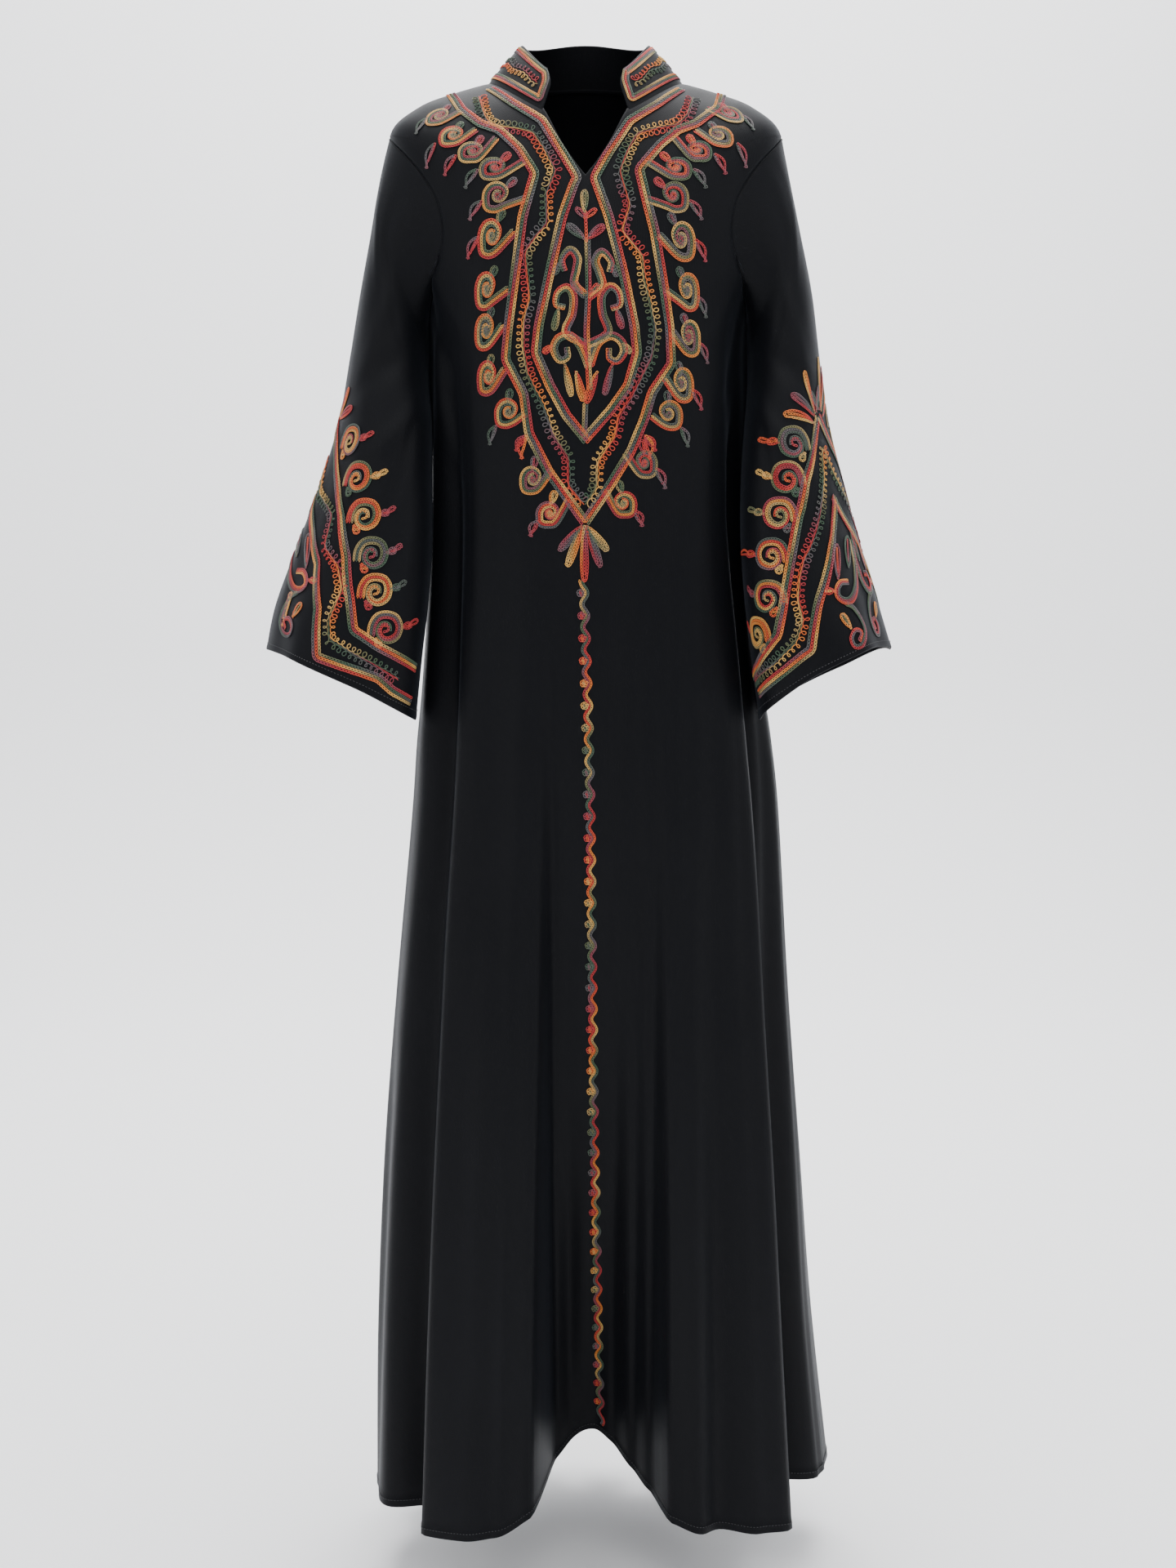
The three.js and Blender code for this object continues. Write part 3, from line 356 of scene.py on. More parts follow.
def sleevePoint(side, turn, level):
    turn, level = np.broadcast_arrays(np.asarray(turn, float), np.asarray(level, float))
    outerL, outerR, outerZ, outerY, innerL, innerR, innerZ, innerY, front, back = np.moveaxis(
        tableAt(sleeveSections, level), -1, 0)
    outer = np.stack([side * (outerL if side > 0 else outerR), outerY, outerZ], -1)
    inner = np.stack([side * (innerL if side > 0 else innerR), innerY, innerZ], -1)
    wrapped = np.mod(turn, 360)
    cos, sin = np.cos(np.radians(wrapped)), np.sin(np.radians(wrapped))
    along = np.sign(cos) * np.abs(cos) ** (2 / sleeve["power"])
    across = np.sign(sin) * np.abs(sin) ** (2 / sleeve["power"])
    deep = np.where(sin > 0, front, back)
    reach = np.zeros_like(wrapped)
    for low, high in zip(sleeveFlutes[:-1], sleeveFlutes[1:]):
        u = (wrapped - low[0]) / (high[0] - low[0])
        depths = [f[1] * np.clip((level - f[2]) / (cuffLevel - f[2]), 0, 1) for f in (low, high)]
        between = depths[0] + (depths[1] - depths[0]) * (0.5 - 0.5 * np.cos(math.pi * np.clip(u, 0, 1)))
        reach = np.where((u >= 0) & (u < 1), between, reach)
    down = -level * sleeve["perLevel"]
    for fold in sleeveFolds + (headGathers if side > 0 else []):
        reach = reach + handFold(wrapped, down, fold, sleeve["perDegree"])
    middle, half = (outer + inner) / 2, (outer - inner) / 2
    size = np.linalg.norm(half, axis=-1)
    point = middle + half * (along * (1 + reach / size))[..., None]
    point[..., 1] -= across * (deep + reach)
    lowered = np.clip((level - sleeve["cuffLiftFrom"]) / (cuffLevel - sleeve["cuffLiftFrom"]), 0, 1)
    point[..., 2] += sleeve["cuffLift"][side] * lowered ** 2 * np.maximum(sin, 0)
    t = smooth(level / sleeve["armholeBlend"])[..., None]
    return armholePoint(side, wrapped) * (1 - t) + point * t


def sleeveNormal(side, turn, level):
    surface = lambda a, b: sleevePoint(side, a, b)
    return normalOf(surface, turn, np.clip(level, 0.02, cuffLevel - 0.02), 1, 0.02) * -side


# collar
collar = {
    "thickness": 2,
    "rise": 1,
    "lean": -2,
    "round": 7,
    "top": np.array([49, 0, 61, 66, 66, 69, 53, 2]),
}


def collarPoint(turn, rise):
    turn, rise = np.broadcast_arrays(np.asarray(turn, float), np.asarray(rise, float))
    corner = np.clip((rise - 0.6) / 0.4, 0, 1) ** 2
    end = body["vHalfAngle"] + collar["lean"] * rise + collar["round"] * corner
    angle = end + (360 - 2 * end) * turn
    angle = np.where(angle > 180, angle - 360, angle)
    shape = angle.shape + (8,)
    seam = ovalPoint(np.broadcast_to(bodySections[0], shape), angle)
    seam[..., 2] += collar["rise"]
    edge = ovalPoint(np.broadcast_to(collar["top"].astype(float), shape), angle)
    # straight from its seam to its top edge
    return seam + (edge - seam) * rise[..., None]


def collarNormal(turn, rise):
    return normalOf(collarPoint, np.clip(turn, 0.01, 0.99), np.clip(rise, 0.05, 0.95), 0.005, 0.05) * -1


# materials
class Socket:
    # a node socket that can be added, multiplied and so on
    def __init__(self, tree, socket):
        self.tree, self.socket = tree, socket

    def math(self, operation, *others):
        return self.tree.node("ShaderNodeMath", {"operation": operation}, self, *others)

    def __add__(self, other):
        return self.math("ADD", other)

    def __mul__(self, other):
        return self.math("MULTIPLY", other)

    __radd__, __rmul__ = __add__, __mul__


class Finish:
    # a material and its nodes; node() takes the type, its settings, then values or links in socket order
    def __init__(self, name, **shader):
        self.material = bpy.data.materials.new(name)
        self.material.use_nodes = True
        self.nodes = self.material.node_tree.nodes
        self.links = self.material.node_tree.links
        self.shader = self.nodes["Principled BSDF"]
        for socket, value in shader.items():
            self.shader.inputs[socket].default_value = value

    def node(self, kind, settings=None, *values, out=0, **named):
        made = self.nodes.new(kind)
        for key, value in (settings or {}).items():
            if key == "stops":
                self.setStops(made.color_ramp.elements, value)
            else:
                setattr(made, key, value)
        for key, value in list(enumerate(values)) + [(k.replace("_", " "), v) for k, v in named.items()]:
            self.plug(made.inputs[key], value)
        return Socket(self, made.outputs[out])

    def setStops(self, points, stops):
        while len(points) < len(stops):
            points.new(0.5)
        for point, (position, colour) in zip(points, stops):
            point.position = position
            point.color = (*colour, 1)

    def plug(self, target, value):
        if isinstance(value, Socket):
            self.links.new(value.socket, target)
        elif value is not None:
            target.default_value = value

    def mix(self, factor, a, b):
        # the colours are the seventh and eighth sockets of the node
        return self.node("ShaderNodeMix", {"data_type": "RGBA"}, factor, *[None] * 5, a, b, out=2)

    def ramp(self, factor, stops):
        return self.node("ShaderNodeValToRGB", {"stops": stops}, factor)

    def noise(self, where, scale, detail=2.0, roughness=0.5):
        return self.node("ShaderNodeTexNoise", None, Vector=where, Scale=scale, Detail=detail,
                         Roughness=roughness)

    def place(self, scale=(1, 1, 1), turn=(0, 0, 0), source="Object"):
        where = self.node("ShaderNodeTexCoord", None, out=source)
        return self.node("ShaderNodeMapping", None, where, (0, 0, 0), turn, scale)

    def bump(self, height, distance, strength=1.0, after=None):
        return self.node("ShaderNodeBump", None, Height=height, Distance=distance, Strength=strength,
                         Normal=after)


crepe = {
    "black": (0.0018, 0.0020, 0.0028, 1),
    "worn": (0.0046, 0.0050, 0.0066, 1),
    "roughness": 0.52,
    "grain": 0.00032,  # pebble height in metres
    "sheen": 0.05,
    "sheenTint": (0.55, 0.62, 0.75, 1),
}


def crepeFinish(name, grain=1.0):
    cloth = Finish(name, Metallic=0.0)
    shader = cloth.shader.inputs
    shader["Sheen Weight"].default_value = crepe["sheen"]
    shader["Sheen Roughness"].default_value = 0.35
    shader["Sheen Tint"].default_value = crepe["sheenTint"]
    shader["Specular IOR Level"].default_value = 0.1
    weave = cloth.place(source="UV")
    patches = cloth.noise(cloth.place(), 5.5, 3.0, 0.55)
    longer = cloth.node("ShaderNodeMapping", None, weave, (0, 0, 0), (0, 0, 0), (1, 1.7, 1))
    pebble = cloth.noise(longer, 620, 2.0, 0.6)
    ribs = cloth.node("ShaderNodeTexWave", {"wave_type": "BANDS", "bands_direction": "X"}, Vector=weave,
                      Scale=190, Distortion=3.2, Detail=2.0, Detail_Scale=1.6)
    soft = cloth.noise(cloth.place((1, 1, 0.35)), 13, 2.0, 0.5)
    wear = (patches * 0.6 + pebble * 0.4) * 0.9
    cloth.plug(shader["Base Color"], cloth.mix(wear, crepe["black"], crepe["worn"]))
    cloth.plug(shader["Roughness"], patches * 0.12 + pebble * 0.10 + (crepe["roughness"] - 0.11))
    rough = cloth.bump(soft, 0.0035, 0.5)
    fine = cloth.bump(pebble * 0.75 + ribs * 0.25, crepe["grain"] * grain, 0.7, rough)
    cloth.plug(shader["Normal"], fine)
    return cloth.material


# thread colours in the order they follow each other along the dyed thread
threadStops = [
    (0.00, (0.36, 0.002, 0.014)), (0.09, (0.48, 0.008, 0.010)), (0.18, (0.62, 0.060, 0.004)),
    (0.28, (0.68, 0.20, 0.012)), (0.38, (0.66, 0.38, 0.080)), (0.46, (0.42, 0.27, 0.090)),
    (0.54, (0.110, 0.120, 0.045)), (0.63, (0.022, 0.075, 0.036)), (0.73, (0.040, 0.064, 0.052)),
    (0.82, (0.090, 0.072, 0.088)), (0.91, (0.26, 0.022, 0.050)), (1.00, (0.36, 0.002, 0.014)),
]


def threadFinish(name, roughness):
    thread = Finish(name, Metallic=0.0)
    shader = thread.shader.inputs
    shader["Sheen Weight"].default_value = 0.06
    shader["Sheen Roughness"].default_value = 0.4
    shader["Specular IOR Level"].default_value = 0.3
    dye = thread.node("ShaderNodeAttribute", {"attribute_name": "shade"}, out=2)
    where = thread.place()
    uneven = thread.noise(where, 90, 2.0, 0.6)
    # fine noise for the fibre bump and roughness, also used for painted glints
    fibreAndGlints = thread.noise(where, 900, 2.0, 0.7)
    turned = (dye + uneven * 0.05).math("FRACT")
    colour = thread.ramp(turned, threadStops)
    # the fine noise mixes pale cream into the dye: painted glints on the thread
    colourWithPaintedGlints = thread.mix(fibreAndGlints * 0.10, colour, (0.80, 0.70, 0.55, 1))
    thread.plug(shader["Base Color"], thread.mix(uneven * 0.35, colourWithPaintedGlints, colour))
    thread.plug(shader["Roughness"], fibreAndGlints * 0.25 + (roughness - 0.12))
    thread.plug(shader["Normal"], thread.bump(fibreAndGlints, 0.0005, 0.5))
    return thread.material


crepeCloth = crepeFinish("blackCrepe")
collarCloth = crepeFinish("collarCrepe", 0.8)
hemFinish = Finish("hemThread", **{"Roughness": 0.6, "Sheen Weight": 0.2})
hemFinish.plug(hemFinish.shader.inputs["Base Color"], hemFinish.mix(
    hemFinish.noise(hemFinish.place(), 300), (0.004, 0.004, 0.006, 1), (0.014, 0.014, 0.018, 1)))
hemThread = hemFinish.material
threadFinishes = {
    "crimson_thread": threadFinish("crimsonThread", 0.48),
    "gold_thread": threadFinish("goldThread", 0.42),
    "green_thread": threadFinish("greenThread", 0.52),
}
print("materials ready")


# shells of cloth
def finished(obj, slotName, material=None, *nodes):
    if material is not None:
        obj.data.materials.clear()
        obj.data.materials.append(material)
    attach(obj, "root")
    if nodes:
        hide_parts(*nodes)
    return obj


def gridNormals(points, ring):
    down = np.gradient(points, axis=0)
    if ring:
        across = (np.roll(points, -1, axis=1) - np.roll(points, 1, axis=1)) / 2
    else:
        across = np.gradient(points, axis=1)
    return unit(np.cross(down, across))


def arcs(points, axis):
    steps = np.linalg.norm(np.diff(points, axis=axis), axis=-1)
    return np.insert(np.cumsum(steps, axis=axis), 0, 0, axis=axis)


def clothShell(name, outer, inner, ring=False):
    # a closed thin shell between two grids, [row][column], with a rounded rim
    rows, columns = outer.shape[:2]
    count = rows * columns
    points = [outer.reshape(-1, 3), inner.reshape(-1, 3)]
    index = np.arange(count).reshape(rows, columns)
    wrapped = np.hstack([index, index[:, :1]]) if ring else index
    a, b, c, d = wrapped[:-1, :-1], wrapped[1:, :-1], wrapped[1:, 1:], wrapped[:-1, 1:]
    faces = [np.stack([a, b, c, d], -1).reshape(-1, 4), np.stack([a, d, c, b], -1).reshape(-1, 4) + count]
    start = count * 2
    edges = [wrapped[0], wrapped[-1][::-1]]
    if not ring:
        edge = np.concatenate([index[0, :-1], index[:-1, -1], index[-1, :0:-1], index[:0:-1, 0]])
        edges = [np.append(edge, edge[0])]
    out = np.zeros((rows, columns, 3))
    out[0] += unit(outer[0] - outer[1])
    out[-1] += unit(outer[-1] - outer[-2])
    if not ring:
        out[:, 0] += unit(outer[:, 0] - outer[:, 1])
        out[:, -1] += unit(outer[:, -1] - outer[:, -2])
    flatOut, flatOuter, flatInner = out.reshape(-1, 3), outer.reshape(-1, 3), inner.reshape(-1, 3)
    for edge in edges:
        own = edge[:-1]
        half = np.linalg.norm(flatOuter[own] - flatInner[own], axis=-1, keepdims=True) * 0.42
        points.append((flatOuter[own] + flatInner[own]) / 2 + unit(flatOut[own]) * half)
        middle = np.append(np.arange(len(own)), 0) + start
        start += len(own)
        faces.append(np.stack([edge[:-1], edge[1:], middle[1:], middle[:-1]], -1))
        faces.append(np.stack([middle[:-1], middle[1:], edge[1:] + count, edge[:-1] + count], -1))
    allPoints, allFaces = np.concatenate(points) * mm, np.concatenate(faces)
    mesh = bpy.data.meshes.new(name)
    mesh.from_pydata(allPoints.tolist(), [], allFaces.tolist())
    flatGrid = outer if not ring else np.concatenate([outer, outer[:, :1]], axis=1)
    u, v = arcs(flatGrid, 1) * mm, arcs(flatGrid, 0) * mm
    if not ring:
        u = u - u[:, columns // 2][:, None]
    corner = np.stack([u[:, :columns], v[:, :columns]], -1).reshape(-1, 2)
    perPoint = np.zeros((len(allPoints), 2))
    perPoint[:count] = corner
    perPoint[count:2 * count] = corner
    loopPoint = np.zeros(len(mesh.loops), dtype=int)
    mesh.loops.foreach_get("vertex_index", loopPoint)
    layer = mesh.uv_layers.new(name="clothMap")
    layer.data.foreach_set("uv", perPoint[loopPoint].ravel())
    mesh.shade_smooth()
    mesh.update()
    made = bpy.data.objects.new(name, mesh)
    bpy.context.scene.collection.objects.link(made)
    print(name, len(mesh.loops) - 2 * len(mesh.polygons), "triangles")
    return made


def thickened(outer, ring, thickness, extra=0):
    # wall of even thickness inside the outer face; extra stands out on both faces
    normals = gridNormals(outer, ring)
    extra = np.broadcast_to(extra, outer.shape[:2])[..., None]
    return outer + normals * extra, outer - normals * (thickness + extra)


def drawnIn(outside, level):
    ahead = np.where(level > body["armholeTop"], 0, body["drawIn"] * (level / body["armholeTop"]) ** 2)
    return outside * (1 - ahead * (1 - outside ** 6))


def seamAngle(level):
    return np.degrees(body["seamGap"] / 2 / tableAt(bodySections, level)[..., 3])


def panelRows(yokeRows, armholeRows, skirtRows, isFront):
    turns = np.linspace(0, 180, armholeRows, endpoint=False)
    depth, level, _ = armholeAt(turns if isFront else 360 - turns)
    yoke = np.linspace(0, body["armholeTop"], yokeRows, endpoint=False)
    skirt = np.linspace(body["armholeBottom"], hemLevel, skirtRows)
    band = hemLevel - np.array([body["hemBand"] + 1.2, body["hemBand"], body["hemBand"] - 1,
                                2.4]) / body["skirtLevel"]
    skirt = np.sort(np.concatenate([skirt, band]))
    levels = np.concatenate([yoke, level, skirt])
    cuts = np.concatenate([np.zeros(yokeRows), depth, np.zeros(len(skirt))])
    return levels[:, None], cuts[:, None]


def panelShell(name, outer, levels, toEdge, atNeck):
    # the hem is turned up twice, and the cloth dips along its seams
    bandLevel = body["hemBand"] / body["skirtLevel"]
    hemExtra = 0.45 * smooth((levels - (hemLevel - bandLevel - 0.006)) / 0.006)
    normals = gridNormals(outer, False)
    dip = body["seamDip"] * (bell(toEdge / 3.4) + atNeck)
    outer = outer - normals * dip[..., None]
    return clothShell(name, *thickened(outer, False, body["clothThickness"], hemExtra))


def frontPanel():
    levels, cuts = panelRows(22, 40, 128, True)
    base = np.linspace(-90, 90, 165)[None, :]
    edge = 90 - cuts - seamAngle(levels)
    outside = (np.abs(base) - body["vHalfAngle"]) / (90 - body["vHalfAngle"])
    beyond = np.sign(base) * (body["vHalfAngle"] + (edge - body["vHalfAngle"]) * drawnIn(outside, levels))
    angles = np.where(outside > 0, beyond, base + 0 * levels)
    top = body["vLevel"] * np.clip(1 - np.abs(angles) / body["vHalfAngle"], 0, 1)
    share = levels / body["armholeTop"]
    surfaceLevels = np.where(levels >= body["armholeTop"], levels + 0 * angles,
                             top + (body["armholeTop"] - top) * share)
    outer = bodyPoint(angles, surfaceLevels)
    toEdge = (edge - np.abs(angles)) * body["perDegree"]
    atNeck = bell(levels * 24 / 3) * (np.abs(angles) > body["vHalfAngle"])
    return panelShell("front_panel_cloth", outer, levels + 0 * angles, toEdge, atNeck)


def backPanel():
    levels, cuts = panelRows(16, 28, 96, False)
    outside = np.linspace(-1, 1, 151)[None, :]
    edge = 90 + cuts + seamAngle(levels)
    angles = 180 + np.sign(outside) * drawnIn(np.abs(outside), levels) * (180 - edge)
    outer = bodyPoint(angles, levels + 0 * angles)
    toEdge = (180 - edge - np.abs(angles - 180)) * body["perDegree"]
    return panelShell("back_panel_cloth", outer, levels + 0 * angles, toEdge,
                      bell(levels * 24 / 3) + 0 * angles)


def sleeveCloth(side, name):
    turns = side * (180 - np.arange(0, 360, 4.5))[None, :]
    levels = np.concatenate([[0.2, 0.27, 0.35, 0.44], np.linspace(0.54, cuffLevel - 0.24, 84),
                             cuffLevel - np.array([0.215, 0.19, 0.10, 0.04, 0])])[:, None]
    rings = sleevePoint(side, turns + 0 * levels, levels + 0 * turns)
    edge = armholePoint(side, turns[0])
    normal = armholeNormal(side, turns[0])
    along = armholePoint(side, turns[0] + 1) - armholePoint(side, turns[0] - 1)
    outward = unit(np.cross(normal, along) * side)
    under = (0.5 - 0.5 * np.cos(np.radians(turns[0])))[:, None]
    head = np.stack([
        edge - outward * sleeve["tuck"] - normal * 2.7,
        edge + outward * 0.6 - normal * (1.8 - 1.5 * under),
        edge + outward * 1.5 - normal * (1.0 - 2.2 * under),
    ])
    outer = np.concatenate([head, rings])
    band = np.concatenate([[0, 0, 0], levels[:, 0]])[:, None]
    extra = 0.4 * smooth((band - (cuffLevel - 0.2)) / 0.02)
    return clothShell(name, *thickened(outer, True, body["clothThickness"], extra + 0 * turns), ring=True)


def collarCloths():
    rises = np.array([1, 0.985, 0.95, 0.88, 0.78, 0.66, 0.54, 0.42, 0.3, 0.18, 0.08, 0, -0.06, -0.12])
    rises = rises[:, None]
    turns = np.linspace(0, 1, 150)[None, :]
    outer = collarPoint(turns, rises)
    normals = collarNormal(turns, rises)
    # padded, and tucked under the neck edge
    belly = 0.9 * np.sin(math.pi * np.clip(rises, 0, 1)) ** 0.8 - 6 * np.clip(-rises, 0, 1)
    outer = outer + normals * belly[..., None]
    inner = outer - normals * (collar["thickness"] + belly[..., None] * 0.5)
    return clothShell("collar_cloth", outer, inner)


frontCloth = finished(frontPanel(), "crepe", crepeCloth, "front_panel")
backCloth = finished(backPanel(), "crepe", crepeCloth, "back_panel")
sleeveCloths = {
    side: finished(sleeveCloth(side, f"sleeve_{word}_cloth"), "crepe", crepeCloth, f"sleeve_{word}")
    for word, side in (("left", 1), ("right", -1))
}
collarBand = finished(collarCloths(), "collar_cloth", collarCloth, "collar")
print("cloth laid")


# chain stitch
stitch = {
    "pitch": 4.7,  # from one link to the next in a full-size row
    "row": 5.0,  # width of a full-size row
    "lift": 0.62,  # thread centre above the cloth
    "cordPitch": 2.2,
    "dyeLength": 190,  # thread that runs through all its colours
    "seed": 4,
}


class Ground:
    # a cloth that stitching is laid on, with its two surface parameters a and b
    def __init__(self, surface, outward, a, b, steps):
        self.surface, self.outward, self.steps = surface, outward, steps
        self.limits = (b[0], b[-1])
        self.a, self.b = (g.ravel() for g in np.meshgrid(a, b, indexing="ij"))
        self.points = surface(self.a, self.b)

    def meet(self, target, right, up, deep=0.0):
        # the parameters where the cloth meets each target, seen square to right and up
        gap = target[:, None, :] - self.points[None]
        away = (gap @ right) ** 2 + (gap @ up) ** 2 + deep * (gap @ np.cross(right, up)) ** 2
        nearest = away.argmin(axis=1)
        a, b = self.a[nearest].copy(), self.b[nearest].copy()
        for _ in range(9):
            here = self.surface(a, b)
            alongA = (self.surface(a + self.steps[0], b) - here) / self.steps[0]
            alongB = (self.surface(a, b + self.steps[1]) - here) / self.steps[1]
            missing = target - here
            m = [[alongA @ right, alongB @ right], [alongA @ up, alongB @ up]]
            r = [missing @ right, missing @ up]
            det = m[0][0] * m[1][1] - m[0][1] * m[1][0]
            det = np.where(np.abs(det) < 1e-6, 1e-6, det)
            a += np.clip((r[0] * m[1][1] - r[1] * m[0][1]) / det, -4, 4)
            b += np.clip((m[0][0] * r[1] - m[1][0] * r[0]) / det, -0.3, 0.3)
            b = np.clip(b, *self.limits)
        return a, b

    def line(self, a, b):
        normal = self.outward(a, b)
        return self.surface(a, b) + normal * stitch["lift"], normal

    def drawn(self, flat):
        # a line drawn as seen from the front, across and up
        target = np.stack([flat[:, 0], 0 * flat[:, 0], flat[:, 1]], -1)
        return self.line(*self.meet(target, np.array([1.0, 0, 0]), np.array([0, 0, 1.0])))

    def frameAt(self, a, b):
        # a point of the cloth with its level and rising directions
        a, b = np.array([float(a)]), np.array([float(b)])
        point, normal = self.surface(a, b)[0], self.outward(a, b)[0]
        right = unit(np.cross(np.array([0, 0, 1.0]), normal))
        return point, right, unit(np.cross(normal, right))

    def laid(self, place, flat):
        # a small motif, drawn flat round a point of the cloth, then laid on it
        point, right, up = place
        target = point + flat[:, :1] * right + flat[:, 1:] * up
        return self.line(*self.meet(target, right, up, 1.0))


def spaced(flat, step):
    # the same line with even steps
    flat = np.asarray(flat, float)
    along = np.insert(np.cumsum(np.linalg.norm(np.diff(flat, axis=0), axis=1)), 0, 0)
    at = np.linspace(0, along[-1], max(int(round(along[-1] / step)), 2) + 1)
    return np.stack([np.interp(at, along, flat[:, i]) for i in range(flat.shape[1])], -1)


def eased(flat, rounding, step=1.3):
    # a line with its corners rounded off
    flat = spaced(flat, step)
    for _ in range(int(rounding * 1.5)):
        flat[1:-1] = (flat[:-2] + 2 * flat[1:-1] + flat[2:]) / 4
    return flat


def curved(points, step=1.2):
    # a smooth curve through points
    rows = np.asarray(points, float)
    at = np.linspace(0, len(rows) - 1, 12 * (len(rows) - 1) + 1)
    return spaced(tableAt(rows, at), step)


class Threads:
    # rows of stitches for one piece, gathered before they are sewn
    def __init__(self, name):
        self.name = name
        self.points, self.normals, self.shades, self.sizes, self.edges = [], [], [], [], []
        self.count = 0

    def row(self, line, shade, size=1.0, offset=0.0, taper=None, bleed=1.0):
        points, normals = line
        if offset is not None and len(points) > 2:
            along = np.gradient(points, axis=0)
            beside = unit(np.cross(normals, along))
            width = offset * (1 if taper is None else taper[:, None])
            points = points + beside * width
        length = np.insert(np.cumsum(np.linalg.norm(np.diff(points, axis=0), axis=1)), 0, 0)
        n = len(points)
        self.points.append(points)
        self.normals.append(normals)
        self.shades.append(shade + bleed * length / stitch["dyeLength"])
        self.sizes.append(np.full(n, size))
        index = np.arange(n) + self.count
        self.edges.append(np.stack([index[:-1], index[1:]], -1))
        self.count += n

    def band(self, line, shade, rows=3, size=0.7, taper=None):
        # rows side by side, whose colours run out of step
        for i in range(rows):
            offset = (i - (rows - 1) / 2) * stitch["row"] * size * 0.98
            self.row(line, shade + 0.31 * i, size, offset, taper)

    def coils(self, line, side, shade, radius=2.2, pitch=5.6, away=3.1, size=1.0):
        # a cord looped along one side of a line
        points, normals = line
        length = np.insert(np.cumsum(np.linalg.norm(np.diff(points, axis=0), axis=1)), 0, 0)
        fine = np.arange(0, length[-1], 0.62)
        at = np.stack([np.interp(fine, length, points[:, i]) for i in range(3)], -1)
        up = unit(np.stack([np.interp(fine, length, normals[:, i]) for i in range(3)], -1))
        along = unit(np.gradient(at, axis=0))
        beside = np.cross(up, along) * side
        uneven = 1 + 0.14 * np.sin(fine * 0.093 + 2 * side) + 0.09 * np.sin(fine * 0.31)
        turn = 2 * math.pi * fine / pitch + 0.5 * np.sin(fine * 0.07)
        reach = (radius * uneven)[:, None]
        coil = at + along * reach * np.cos(turn)[:, None] + beside * (away + reach * np.sin(turn)[:, None])
        coil += up * (0.18 * np.sin(turn * 0.5))[:, None]
        self.row((coil, up), shade, size, None, bleed=0.34)

    def guide(self):
        mesh = bpy.data.meshes.new(self.name + "Guide")
        points, edges = np.concatenate(self.points) * mm, np.concatenate(self.edges)
        mesh.from_pydata(points.tolist(), edges.tolist(), [])
        for name, kind, values in (("clothNormal", "FLOAT_VECTOR", self.normals),
                                   ("shade", "FLOAT", self.shades),
                                   ("size", "FLOAT", self.sizes)):
            layer = mesh.attributes.new(name, kind, "POINT")
            key = "vector" if kind == "FLOAT_VECTOR" else "value"
            layer.data.foreach_set(key, np.concatenate(values).ravel())
        made = bpy.data.objects.new(self.name, mesh)
        bpy.context.scene.collection.objects.link(made)
        return made


def threadLoop(name, path, radius, sides=3):
    # one link of chain stitch: a thread bent round a closed path, lying along X
    path = np.array(path)
    count = len(path)
    points, faces = [], []
    for i in range(count):
        ahead = unit(path[(i + 1) % count] - path[i - 1])
        across = unit(np.cross(np.array([0, 0, 1.0]), ahead))
        rise = np.cross(ahead, across)
        for j in range(sides):
            turn = 2 * math.pi * (j + 0.25) / sides
            points.append(path[i] + radius * (math.cos(turn) * across + math.sin(turn) * rise))
        for j in range(sides):
            a, b = i * sides + j, i * sides + (j + 1) % sides
            c, d = ((i + 1) % count) * sides + (j + 1) % sides, ((i + 1) % count) * sides + j
            faces.append((a, b, c, d))
    return linkObject(name, points, faces)


def cordBead(name, length, radius, sides=4):
    # one turn of a couched cord: a short spindle lying along X
    points = [(-length / 2, 0, 0), (length / 2, 0, 0)]
    faces = []
    for i in range(2):
        for j in range(sides):
            turn = 2 * math.pi * j / sides
            points.append((length * (-0.22, 0.22)[i], radius * math.cos(turn), radius * math.sin(turn)))
    for j in range(sides):
        near, far = 2 + j, 2 + sides + j
        nearNext, farNext = 2 + (j + 1) % sides, 2 + sides + (j + 1) % sides
        faces += [(0, nearNext, near), (near, nearNext, farNext, far), (1, far, farNext)]
    return linkObject(name, points, faces)


def linkObject(name, points, faces):
    mesh = bpy.data.meshes.new(name)
    mesh.from_pydata((np.array(points) * mm).tolist(), [], faces)
    mesh.shade_smooth()
    made = bpy.data.objects.new(name, mesh)
    bpy.context.scene.collection.objects.link(made)
    return made


